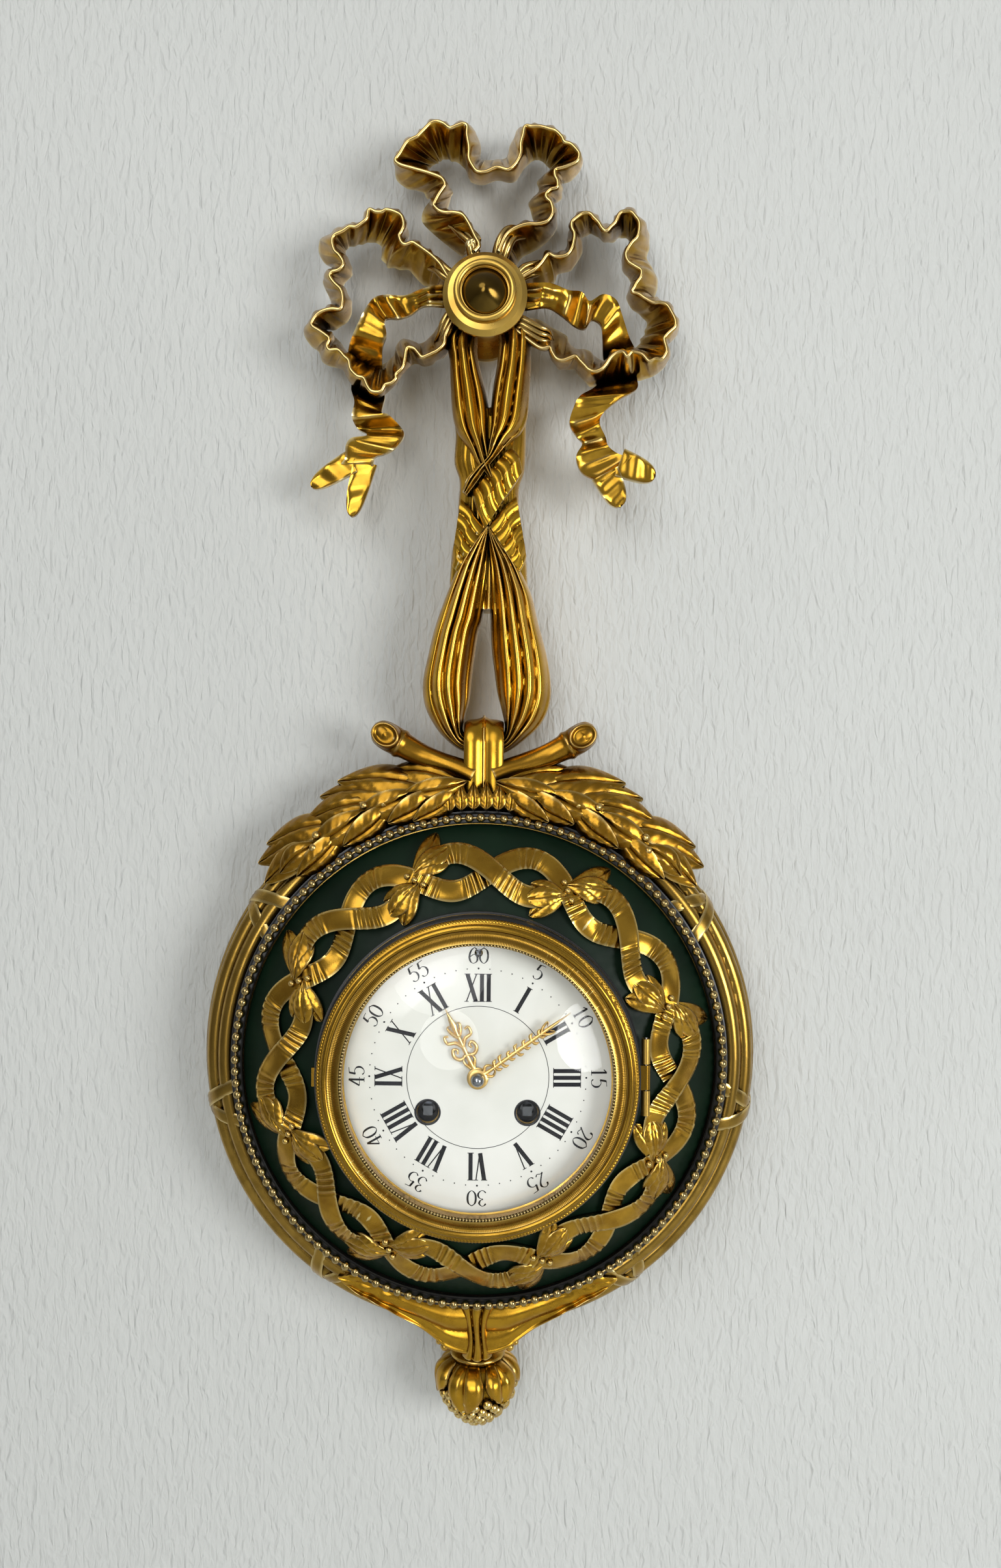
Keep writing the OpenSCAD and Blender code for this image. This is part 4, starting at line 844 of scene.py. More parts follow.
RIGHT_RAILS = (
    (13, 7, 13, 15, 15, 7), (18, 11, 18, 21, 19, 10), (23, 14, 24, 24, 26, 12), (26, 17, 27, 26, 31, 14),
    (29, 21, 30, 30, 33, 16), (32, 20, 33, 30, 34, 19), (35, 20, 37, 30, 36, 20), (38, 21, 38, 32, 40, 21),
    (40, 24, 39, 35, 42, 23), (41, 28, 39, 39, 44, 26), (41, 31, 40, 42, 46, 30), (40, 33, 40, 44, 46, 33),
    (40, 36, 42, 46, 46, 35), (42, 38, 44, 47, 46, 37), (45, 40, 46, 48, 48, 38), (48, 40, 49, 48, 50, 39),
    (50, 38, 52, 47, 52, 38), (52, 36, 54, 45, 54, 37), (54, 33, 56, 44, 56, 35), (56, 32, 58, 44, 58, 35),
    (58, 34, 60, 44, 61, 35), (60, 36, 62, 46, 63, 37), (62, 40, 64, 48, 65, 37), (64, 41, 66, 50, 67, 37),
    (67, 41, 70, 50, 68, 36), (69, 39, 73, 47, 69, 35), (71, 36, 76, 43, 68, 34), (71, 32, 78, 39, 68, 32),
    (70, 29, 78, 35, 67, 30), (68, 27, 78, 32, 66, 27), (66, 24, 77, 29, 65, 25), (65, 21, 77, 27, 65, 22),
    (66, 18, 79, 24, 66, 20), (69, 16, 80, 22, 68, 18), (72, 14, 82, 18, 69, 16), (72, 11, 82, 15, 70, 14),
    (70, 8, 82, 13, 69, 13), (69, 6, 81, 10, 68, 11), (68, 4, 80, 8, 67, 9), (71, 3, 80, 8, 68, 6),
    (74, 1, 81, 8, 70, 3), (78, -1, 83, 8, 73, 1), (81, -1, 86, 6, 75, -1), (84, -2, 88, 4, 77, -3),
    (86, -5, 90, 1, 77, -5), (88, -9, 91, -3, 76, -7), (88, -12, 92, -7, 76, -9), (86, -14, 91, -10, 74, -11),
    (84, -16, 88, -13, 74, -12), (83, -18, 87, -14, 74, -13), (84, -22, 87, -18, 73, -14),
    (84, -24, 87, -21, 72, -15), (82, -27, 86, -24, 71, -16), (79, -27, 83, -27, 70, -16),
    (76, -28, 80, -29, 68, -16), (73, -25, 77, -30, 67, -16), (70, -24, 74, -31, 66, -16),
    (68, -24, 71, -31, 64, -16), (66, -26, 68, -32, 63, -16), (64, -24, 64, -32, 62, -16),
    (62, -24, 61, -33, 61, -17), (60, -25, 58, -33, 60, -18), (58, -27, 54, -34, 59, -19),
    (56, -30, 52, -34, 58, -22), (54, -32, 50, -34, 55, -21), (51, -33, 48, -32, 52, -19),
    (48, -32, 46, -30, 50, -17), (46, -30, 44, -28, 47, -16), (44, -28, 43, -26, 44, -16),
    (42, -26, 40, -26, 42, -15), (39, -27, 37, -26, 40, -13), (36, -28, 35, -26, 39, -10), (33, -27, 33, -23, 36, -8),
    (31, -24, 31, -20, 32, -6), (30, -22, 30, -17, 29, -4), (25, -22, 25, -16, 25, -2), (14, -14, 14, -11, 14, 0))
# Tail edges: outer edge x y, inner edge x y, height over the wall.
LEFT_TAIL = (
    (-12, 7, -12, -2, 28), (-21, 7, -21, -2, 30), (-29, 6, -29, -2, 29), (-38, 5, -35, -4, 24), (-46, 4, -40, -7, 27),
    (-52, 4, -46, -6, 24), (-55, -1, -47, -9, 27), (-58, -7, -46, -15, 28), (-62, -14, -48, -20, 25),
    (-65, -20, -49, -28, 19), (-64, -26, -50, -32, 14), (-64, -34, -48, -39, 14), (-63, -39, -48, -46, 22),
    (-61, -46, -48, -51, 26), (-62, -53, -45, -52, 27), (-60, -57, -39, -57, 22), (-55, -61, -38, -62, 25),
    (-62, -63, -42, -68, 27), (-65, -66, -47, -70, 25), (-65, -72, -51, -72, 27), (-67, -75, -52, -76, 26))
RIGHT_TAIL = (
    (12, 8, 12, -3, 28), (20, 8, 20, -3, 30), (30, 9, 29, -2, 29), (39, 8, 36, -4, 24), (45, 6, 42, -10, 27),
    (49, 3, 47, -10, 24), (55, 5, 50, -7, 27), (61, 2, 54, -10, 28), (64, -4, 55, -16, 26), (68, -12, 56, -22, 20),
    (72, -18, 59, -24, 15), (72, -26, 56, -30, 13), (72, -33, 51, -37, 21), (71, -39, 45, -42, 26),
    (63, -44, 42, -47, 27), (56, -49, 40, -54, 23), (54, -55, 43, -61, 26), (57, -61, 46, -64, 24),
    (58, -66, 43, -71, 27), (63, -69, 46, -78, 25), (69, -71, 55, -83, 27))
# The two ends of each swallow tail, x y.
LEFT_TIPS = ((-81.5, -85), (-62.5, -99))
RIGHT_TIPS = ((80.5, -79.5), (64.5, -93.5))


@dataclass
class Bow(Part):
    """The ribbon bow: three loops cast with a bright front edge and pleated flanks, and two tails."""

    front: float = 34.0
    back: float = 15.0
    edge: float = 2.0
    shoulder: float = 0.7
    hollow: float = 7.0
    pleat_mm: float = 7.4
    pleat_depth: float = 0.75
    loop_samples: int = 420
    flank: tuple[float, ...] = (0.0, 0.12, 0.3, 0.5, 0.7, 0.86, 1.0)
    tail_samples: int = 170
    tail_thick: float = 2.2
    gather_heights: tuple[float, ...] = (26.0, 31.0, 31.0, 29.0, 25.0, 20.0)
    gather_shares: tuple[float, ...] = (0.12, 0.5, 0.88)

    def loop(self, rails: Rows) -> Array:
        """Rings of a loop.

        Each ring runs from the front edge down the outer flank to the wall side, back through a hollow
        and up the inner flank. A flank point is (1 - t) front + t back, bulged by sin(pi t), and pleats
        of cos(2 pi s / pleat) swell towards the back.

        Args:
            rails: Control rows of front ridge, outer back and inner back.

        Returns:
            Rings for a tube.
        """
        r = spline(rails, self.loop_samples, 2)
        ridge, outer, inner = r[:, 0:2], r[:, 2:4], r[:, 4:6]
        left = leftward(ridge)
        out = left * np.sign(np.sum(left * (outer - inner), axis=1).mean())
        s = run_length(ridge)[:, None]
        t = np.array(self.flank)[None, :]
        broad = wave(s / self.pleat_mm, 1.4 * np.sin(s / 17.0))
        pleat = (broad + 0.22 * wave(s / (0.41 * self.pleat_mm), 0.8)) * np.sin(np.pi * t**0.8) ** 0.8
        pleat = self.pleat_depth * pleat
        half, start = 0.5 * self.edge, self.front - self.shoulder
        high = start - (start - self.back) * t**1.05 + 0.8 * pleat
        bulge = (0.55 * pleat + 0.66 * np.sin(np.pi * t))[..., None]
        flanks = [raised(between(ridge + half * side, target, t) + side[:, None] * bulge, high)
                  for target, side in ((outer, out), (inner, -out))]
        crown = [raised(ridge + k * half * out, self.front + h)[:, None]
                 for k, h in ((-0.6, 0.0), (0.0, 0.25), (0.6, 0.0))]
        middle = 0.5 * (outer + inner)
        inside = [raised(p, z)[:, None] for p, z in ((outer * 0.9 + middle * 0.1, self.back + 0.6),
                                                     (0.5 * (ridge + middle), self.front - self.hollow),
                                                     (inner * 0.9 + middle * 0.1, self.back + 0.6))]
        return np.concatenate([flanks[0], *inside, flanks[1][:, ::-1], *crown], axis=1)

    def tail(self, edges: Rows, tips: Rows) -> Shape:
        """A flat tail with rolled edges and cross folds, ending in two round tongues.

        The face stands at the height of the edges, with folds of cos(2 pi s / 8.6) across it, flutes near
        the boss and a roll (2 |v - 0.5|)^6 at its edges. A tongue narrows by sqrt(1 - u^5) and droops by 3 u^2.

        Args:
            edges: Control rows of the two edges and the height.
            tips: The two ends of the swallow tail.

        Returns:
            Its closed surfaces.
        """
        r = spline(edges, self.tail_samples, 2)
        a, b = r[:, 0:2], r[:, 2:4]
        v = share_of(13).T
        s = run_length(0.5 * (a + b))[:, None]
        folds = 0.65 * wave(s / 8.6, 1.6 * np.sin(s / 11.0) + 1.3 * v) + 0.1 * wave(s / 3.7, 2.0 * v)
        flutes = 1.5 * wave(2.5 * v) * bell(s, 0.0, 15.0)
        high = r[:, 4:5] + folds * np.sin(np.pi * v) ** 0.5 * smooth(4.0, 16.0, s)
        high = high + flutes + 0.9 * (2 * np.abs(v - 0.5)) ** 6
        shape = Shape().plate(raised(between(a, b, v), high), self.tail_thick)
        u, w = share_of(40), share_of(15, -1.0).T
        for share, end in zip((0.27, 0.73), np.asarray(tips, float)):
            root = a[-3] * (1 - share) + b[-3] * share
            way = unit(end - root)
            half = 0.5 * np.linalg.norm(a[-1] - b[-1]) * (0.74 - 0.18 * u) * np.sqrt(1 - u**5)
            flat = root + (end - root) * u[..., None] + np.array([-way[1], way[0]]) * (half * w)[..., None]
            high = edges[-1][4] + 0.4 - 3.0 * u**2 + 0.35 * wave(2.2 * u, 1.2 * w) * (1 - w**4) + 0.7 * w**6
            shape.plate(raised(flat, high), self.tail_thick)
        return shape

    def gather(self, shape: Shape, rails: Rows) -> None:
        """Add three round folds that run from under the boss along the first stretch of a ribbon and sink into it.

        Args:
            shape: Where they go.
            rails: The ribbon's control rows, first those at the boss.
        """
        r = np.asarray(rails[:len(self.gather_heights) - 1], float)
        phase, t = once_round(14)[None, :], share_of(40)
        for f in self.gather_shares:
            flat = 0.55 * (r[:, 2:4] * (1 - f) + r[:, 4:6] * f) + 0.45 * r[:, 0:2]
            path = spline(np.column_stack([np.vstack([0.6 * flat[0], flat]), self.gather_heights]), len(t))
            wide, high = 0.1 + 1.9 * (1 - t**2), 0.1 + 2.5 * (1 - t**2)
            shape.tube(sweep(path, *upright(path), wide * np.cos(phase), high * np.sin(phase)))

    def build(self) -> None:
        """Make the three loops, two of them with their tails."""
        for side, rails, tail in (("top", TOP_RAILS, None), ("left", LEFT_RAILS, (LEFT_TAIL, LEFT_TIPS)),
                                  ("right", RIGHT_RAILS, (RIGHT_TAIL, RIGHT_TIPS))):
            shape = self.tail(*tail) if tail else Shape()
            shape.tube(self.loop(rails))
            self.gather(shape, rails)
            self.gather(shape, rails[::-1])
            shape.make(f"bow_{side}_loop", self.palette.bow, (f"ribbon_{side}_loop",))


@dataclass
class BossCap(Part):
    """The pointed dark cap on the boss."""

    radius: float = 10.6
    foot: float = 42.0
    skirt: float = 0.3
    rise: float = 5.9

    def build(self) -> None:
        """A turned dome that runs up to a small point: z = foot + skirt + rise (1 - (r / R)^1.6)."""
        r = np.concatenate([[self.radius, self.radius], np.linspace(self.radius - 0.2, 0.05, 50)])[:, None]
        z = self.foot + self.skirt + self.rise * (1 - (r / self.radius) ** 1.6)
        z[0] = self.foot
        Shape().tube(turned(r, once_round(120), z, (0.0, 0.0))).make(
            "pointed_boss_cap", self.palette.cap, ("boss_cap",), Slot.DARK)


@dataclass
class Drape(Part):
    """The twisted drape: a core, two bundles from the boss, a pleated lattice where they cross, and two swags."""

    core: Cloth = Cloth(
        ((-15, -49), (-13.5, -60), (-14, -73), (-11.5, -82), (-12, -93), (-12.5, -104), (-14.5, -113), (-15.5, -124),
         (-15.5, -132), (-12, -143)),
        ((19.5, -49), (19.5, -60), (19, -76), (16.5, -85), (16.5, -97), (17.5, -106), (19.5, -113), (20.5, -125),
         (20.5, -133), (17, -143)),
        (30, 33, 34, 34, 33, 31), (16, 14, 13, 13, 14, 16), 10, 1.2, 0.5)
    bundles: tuple[Cloth, ...] = (
        Cloth(((-13, -10), (-17.5, -17), (-16.5, -27), (-16, -38), (-15, -51), (-12.5, -60.5), (-7, -69.5), (-3, -77),
               (2, -83)),
              ((-4, -10), (-3.5, -17), (-3.5, -24), (-1.5, -33), (1, -42), (2.5, -51.5), (2.5, -61), (3, -71),
               (5, -84)),
              (32, 36, 36.5, 37, 37.5, 38), (18, 17, 17, 18, 22, 30), 2.6, 3.4, 0.4),
        Cloth(((14, -8), (20.5, -13), (21.5, -25), (21, -39.5), (20, -54), (17, -61.5), (12.5, -66), (7.5, -72),
               (1, -80), (-3, -85.5), (-7.5, -91)),
              ((5, -10), (6.5, -17.5), (5.5, -29), (4, -38.5), (3, -48.5), (3, -56.5), (2.5, -64.5), (1, -73.5),
               (-4, -79), (-8, -83.5), (-10, -89)),
              (32, 36, 37, 38, 39, 39.5, 38.5, 36), (18, 17, 17, 18, 22, 30, 31, 30), 2.7, 3.4, -0.4))
    lattice: tuple[tuple, ...] = (
        (((12.5, -68.5), (16, -73), (18, -80)), ((-5.5, -90), (-3, -98), (0.5, -107)), (36, 38.6, 36.5), 4.6),
        (((15, -91), (9, -97), (2.5, -105)), ((20, -119), (19, -123), (16.5, -127.5)), (36.2, 38.2, 37.4), 4.2),
        (((-10.5, -92), (-6, -97), (0.5, -106)), ((-14.5, -121), (-14, -124), (-11.5, -127)), (35, 37.2, 36.8), 4.0))
    lattice_thick: float = 6.0
    swag_front: tuple[float, ...] = (38.6, 39.8, 40, 39.5, 38.5, 36, 31)
    swag_back: tuple[float, ...] = (33, 24, 16, 13, 13, 16, 21)
    swags: tuple[tuple, ...] = (
        (((1.5, -106), (-4.5, -113), (-11, -122.5), (-15.5, -132.5), (-18.5, -140), (-22.5, -151.5), (-26, -166),
          (-28, -177.5), (-27, -187.5), (-23, -196), (-17, -203.5), (-9, -209), (1, -211.5)),
         ((2.4, -107), (2.2, -123), (1.2, -136), (0, -147), (-2, -153.5), (-3.5, -163), (-5, -174.5), (-6, -185),
          (-8, -193), (-8.5, -200), (1, -203)), 4.3, 0.35),
        (((2.5, -106), (8.5, -113.5), (15, -121.5), (19.5, -129.5), (23, -137.5), (26, -149.5), (30, -164),
          (32, -177), (31.5, -187), (27.5, -196), (20.5, -203), (11, -209.5), (1, -211.5)),
         ((2.0, -107), (2.8, -123), (3, -136), (3.5, -147), (4, -159), (5.5, -171), (7, -181.5), (9, -189.5),
          (10.5, -197), (9, -201.5), (1, -203)), 4.6, -0.3))

    def build(self) -> None:
        """Make the drape as one piece that stands for its CAD node."""
        cloths = [self.core, *self.bundles]
        for outer, inner, front, folds in self.lattice:
            back = [z - self.lattice_thick for z in front]
            cloths.append(Cloth(outer, inner, front, back, folds, 1.7, 0.2, 50))
        for outer, inner, folds, drift in self.swags:
            cloths.append(Cloth(outer, inner, self.swag_front, self.swag_back, folds, 2.9, drift, 170))
        shape = Shape()
        for piece in cloths:
            piece.hang(shape)
        shape.make("twisted_drape", self.palette.gilt, ("hanging_drape",), sharp=70)


@dataclass
class Bail(Part):
    """The strap that hangs the case: two soft rounds and a ridge, run over the drape and down to the frame."""

    middle: float = 1.0
    depth: float = 26.0
    reach: float = 8.6
    turn_y: float = -205.6
    foot_y: float = -228.0
    back_lift: float = 7.0
    half_width: float = 9.2
    back_z: float = -1.0

    def build(self) -> None:
        """A strap swept up the front, over the top in half a circle and down the back; its ridge ends in a point."""
        up = np.linspace(self.foot_y, self.turn_y, 30)
        arc = np.linspace(0, np.pi, 50)[1:-1]
        y = np.concatenate([up, self.turn_y + self.reach * np.sin(arc), up[::-1] + self.back_lift])
        z = np.concatenate([np.full(len(up), self.reach), self.reach * np.cos(arc), np.full(len(up), -self.reach)])
        path = wall(self.middle, y, z + self.depth)
        across = np.broadcast_to((1.0, 0.0, 0.0), path.shape)
        x = np.linspace(-self.half_width, self.half_width, 47)
        rounds = 2.3 * np.sqrt(np.clip(1 - ((np.abs(x) - 5.3) / 4.3) ** 2, 0, 1)) + 2.0 * bell(x, 0.0, 1.15) + 0.7
        point = 2.4 * bell(y, self.turn_y + self.reach, 2.6)[:, None] * bell(x, 0.0, 2.6)
        high = np.concatenate([rounds + point, np.full_like(point, self.back_z)], axis=1)
        rings = sweep(path, across, np.cross(across, heading(path)), np.concatenate([x, x[::-1]]), high)
        Shape().tube(rings).make("strap_bail", self.palette.gilt, ("bail",), sharp=60)


@dataclass
class LaurelBranches(Part):
    """Two cut laurel branches that lie on the top of the frame, with leaves and berries.

    Places are degrees from the top, distance from the case centre and height. A leaf has its root, its tip
    and its width. A stem row is x, y, height and girth.
    """

    leaves: tuple[tuple[float, ...], ...] = (
        (4, 126, 36, 18.7, 138.4, 28, 11), (11, 127, 36, 28.1, 142.6, 27, 13), (17, 126, 36, 32.4, 140.5, 27, 11),
        (22, 126, 37, 37.2, 134.8, 30, 12), (31, 125, 36, 46.0, 138.8, 27, 12), (35, 124, 36, 49.8, 135.5, 28, 12),
        (36, 122, 37, 51.6, 127.0, 33, 10.5), (4, 125, 40, 15.9, 113.5, 43, 9.5), (9, 125, 40, 21.5, 116.2, 42.5, 11),
        (19, 124, 40, 32.8, 116.0, 42, 11), (31, 122, 39, 45.3, 118.0, 40, 10), (3, 127, 41, 16.5, 126.0, 41, 9),
        (14, 126, 41, 27, 125.0, 40, 10), (25, 125, 40.5, 38.5, 124.0, 39, 10.5), (37, 123, 40, 47.5, 124.5, 37, 8))
    berries: tuple[tuple[float, float, float], ...] = (
        (20.8, 124.6, 43.0), (24.8, 127.2, 42.0), (36.4, 126.5, 41.5), (38.4, 122.6, 42.5), (11.0, 128.5, 42.0))
    stem_rows: tuple[tuple[float, ...], ...] = (
        (4, -220.5, 34, 4.8), (11, -217.5, 32.5, 5.0), (20, -214.5, 31, 5.1), (29, -211, 30, 5.3), (37, -207, 30, 6.0),
        (44, -203, 30, 6.7), (49, -199.8, 30.5, 5.6), (51.5, -198.4, 30.5, 2.6))
    middle: float = 1.0
    cut_place: tuple[float, float, float] = (45.2, -202.2, 34.2)
    berry: float = 2.0
    fullness: float = 1.36
    tongues: int = 6
    tongue_step: float = 2.75
    tongue_middle: float = 90.25

    def stem(self, shape: Shape, s: int) -> None:
        """A cut stem that thickens to an oval end with a ring round a sunk heart.

        Args:
            shape: Where it goes.
            s: Side, -1 left or 1 right.
        """
        mirror, shift = np.array([s, 1.0, 1.0]), np.array([self.middle, 0.0, 0.0])
        rows = np.array(self.stem_rows, float)
        r = spline(np.column_stack([rows[:, :3] * mirror + shift, rows[:, 3]]), 80)
        path, p, t = r[:, :3], once_round(36)[None, :], share_of(80)
        girth = r[:, 3:4] * (1 + 0.025 * np.cos(3 * p + 9 * t) + 0.12 * bell(t, 0.72, 0.025))
        shape.tube(sweep(path, *upright(path), girth * np.cos(p), girth * np.sin(p)))
        centre = np.array(self.cut_place) * mirror + shift
        axis = unit(np.array([0.12 * s, 0.1, 1.0]))
        u = unit(np.cross(axis, heading(path)[60]))
        w = np.cross(u, axis)
        e = share_of(26)
        height = 2.0 + 1.3 * bell(e, 0.78, 0.14) + 0.9 * bell(e, 0.0, 0.3) - 3.2 * smooth(0.86, 1.0, e)
        height = np.vstack([height, [[-3.0]]])[..., None]
        wide, long = (np.vstack([k * e, [[foot]]])[..., None] for k, foot in ((6.3, 5.9), (7.9, 7.4)))
        shape.tube(centre + axis * height + u * wide * np.cos(p)[..., None] + w * long * np.sin(p)[..., None])

    def branch(self, s: int) -> Shape:
        """One branch: long leaves that overlap away from the bail in an outer, a middle and an inner row, with berries.

        Args:
            s: Side, -1 left or 1 right.

        Returns:
            Its surfaces.
        """
        shape = Shape()
        self.stem(shape, s)
        for a0, r0, z0, a1, r1, z1, width in self.leaves:
            root, tip = on_case(np.array([r0, r1]), 90 - s * np.array([a0, a1]), np.array([z0, z1]))
            tilt = np.clip((r1 - r0) / 16.0, -0.5, 0.8)
            face = turned(tilt, math.radians(90 - s * 0.5 * (a0 + a1)), 1.0, (0.0, 0.0))
            bend = s * (1.6 if r1 > r0 else -1.2)
            leaf = Leaf(self.fullness * width, 4.6, curl=1.2, thick=1.8, bend=bend, belly=1.02, taper=0.85)
            shape.slab(*leaf.grids(root, tip, face))
        angle, radius, z = np.array(self.berries).T
        return shape.ball(on_case(radius, 90 - s * angle, z), self.berry, 12, 9)

    def lip(self) -> Shape:
        """The scalloped lip under the bail: six short tongues that roll over the moulding.

        Returns:
            Its surfaces.
        """
        shape = Shape()
        tongue = Leaf(6.8, 3.0, curl=-0.6, thick=2.4, belly=1.9)
        for k in range(self.tongues):
            angle = self.tongue_middle + self.tongue_step * (k - 0.5 * (self.tongues - 1))
            root, tip = on_case(np.array([127.0, 114.6]), angle, np.array([38.5, 44.8]))
            shape.slab(*tongue.grids(root, tip, (0.0, 0.45, 1.0)))
        return shape

    def build(self) -> None:
        """Make both branches and the scalloped lip."""
        for s, side in SIDES:
            self.branch(s).make(f"laurel_{side}", self.palette.laurel, (f"{side}_laurel_branch",))
        self.lip().make("laurel_lip", self.palette.laurel)


@dataclass
class FrameBindings(Part):
    """Crossed ribbons that bind the reeds of the frame."""

    reach: float = 17.7
    thick: float = 1.1
    lean: float = 0.055
    half_width_degrees: float = 1.5
    crossing: float = 10.0
    places: tuple[float, ...] = (34, -11, -55, 146, 191, 235)

    def build(self) -> None:
        """Two bands at each place lean opposite ways round the reeds and cross on their crown."""
        shape = Shape()
        q = np.linspace(-78, 100, 60)[:, None]
        turn = np.radians(q)
        w = share_of(7, -1.0).T
        for place in self.places:
            for lean, over in ((self.lean, 0.0), (-self.lean, 0.5)):
                angle = place + lean * (q - self.crossing) + self.half_width_degrees * w
                reach = 0.98 * (self.reach + over - 0.25 * np.abs(w) ** 4 + 0.12 * np.cos(9 * w))
                shape.slab(*(on_case(REED_CIRCLE + r * np.cos(turn), angle, REED_MIDDLE + r * np.sin(turn))
                             for r in (reach, reach - 0.98 * self.thick)))
        shape.make("crossed_reed_bindings", self.palette.reeds, ("reed_bindings",))


@dataclass
class Wreath(Part):
    """Two pleated ribbons that weave round the green panel, with leaf sprays and berries at every second crossing."""

    middle: float = 87.7
    swing: float = 8.0
    half_width: float = 4.5
    swings: int = 8
    pleats: int = 196
    pleat_depth: float = 0.42
    panel_edges: tuple[float, float] = (62.95, 107.45)
    panel_thick: float = 1.4
    panel_ball: float = 82.82
    panel_circle: float = 45.68
    panel_drop: float = 15.01
    first_node: float = 108.75
    berries: tuple[tuple[float, float], ...] = ((0.2, 88.0), (2.0, 90.6), (-1.9, 85.0))

    def panel(self, radius: Array) -> Array:
        """Height of the panel's face: z = sqrt(ball^2 - (r - circle)^2) - drop."""
        return np.sqrt(self.panel_ball**2 - (radius - self.panel_circle) ** 2) - self.panel_drop

    def ground(self) -> None:
        """Turn the green panel and the black moulding round it, whose inner corner is a quarter round."""
        a = once_round(480, 360)[:, None]
        r = np.linspace(*self.panel_edges, 60)
        Shape().plate(on_case(r, a, self.panel(r)), self.panel_thick, True).make(
            "domed_green_panel", self.palette.green, ("green_panel",), Slot.GREEN)
        arc = np.radians(np.linspace(180, 270, 12))
        rim_r = np.concatenate([[107.95, 107.95, 108.4, 111.4], 113.4 + 1.6 * np.cos(arc), [113.4]])
        rim_z = np.concatenate([[36.4, 41.9, 42.3, 42.3], 42.3 + 1.6 * np.sin(arc), [36.4]])
        Shape().tube(on_case(rim_r, a, rim_z), True).make(
            "turned_black_rim", self.palette.black, ("rim_moulding",), Slot.BLACK, sharp=40)

    def ribbon(self, way: int) -> Array:
        """Rings of one ribbon: r = middle + way swing sin(8 a - 150), with a slow twist and groups of pleats.

        Args:
            way: 1 or -1, for the two ribbons that cross.

        Returns:
            Rings for a looped tube.
        """
        a = once_round(1700, 360)[:, None]
        e = share_of(9, -1.0).T
        phase = np.radians(self.swings * a - 150)
        slope = way * self.swing * self.swings * np.cos(phase) / self.middle
        half = e * self.half_width / np.sqrt(1 + slope**2)
        radius = self.middle + way * self.swing * np.sin(phase) + half
        angle = a - np.degrees(half * slope / self.middle)
        over = 0.9 + way * 0.9 * np.cos(phase)
        place = smooth(-0.5, 0.6, np.sin(np.radians(24 * a + 60 * way)))
        pleat = np.cos(np.radians(a * self.pleats) + 1.3 * way * e + 1.6 * np.sin(np.radians(13 * a)))
        tilt = e * np.sin(np.radians(20 * a + 75 * way))
        lift = 2.4 + over + self.pleat_depth * place * pleat + tilt + 0.5 * np.abs(e) ** 6 - 0.6 * e**2
        ground = self.panel(radius)
        return np.concatenate([on_case(radius, angle, ground + lift), on_case(radius, angle, ground + 0.3)[:, ::-1]],
                              axis=1)

    def sprays(self, shape: Shape) -> None:
        """Leaf fans and berries: at each node three leaves run clockwise and outward and three back and inward.

        Args:
            shape: Where they go.
        """
        for node in self.first_node - 360 / self.swings * np.arange(self.swings):
            for way, r0, r1, reach in ((-1, 89.0, 99.0, 10.6), (1, 86.5, 78.5, 11.4)):
                for j in (-1, 1, 0):
                    end_r, end_a = r1 + j * 6.6, node + way * (reach - 1.6 * abs(j) + 1.2 * j * way)
                    root = on_case(r0 - 0.6 * j, node - way * 1.4, self.panel(r0) + 3.0)
                    tip = on_case(end_r, end_a, self.panel(end_r) + 2.0 + 1.3 * (j == 0))
                    face = OUT + 0.5 * np.append(unit(root[:2] + (0.0, CASE_DROP)), 0.0)
                    leaf = Leaf(9.6 if j else 10.6, 3.2, curl=-0.3, thick=2.2, bend=1.2 * j * way, belly=1.35)
                    shape.slab(*leaf.grids(root, tip, face))
            angle, radius = np.array(self.berries).T
            shape.ball(on_case(radius, node + angle, self.panel(radius) + 4.6), 1.5, 10, 8)

    def build(self) -> None:
        """Make the panel, the moulding, and the wreath as one chased piece."""
        self.ground()
        shape = Shape().tube(self.ribbon(1), True).tube(self.ribbon(-1), True)
        self.sprays(shape)
        shape.make("woven_ribbon_wreath", self.palette.wreath, ("ribbon_wreath",), sharp=80)


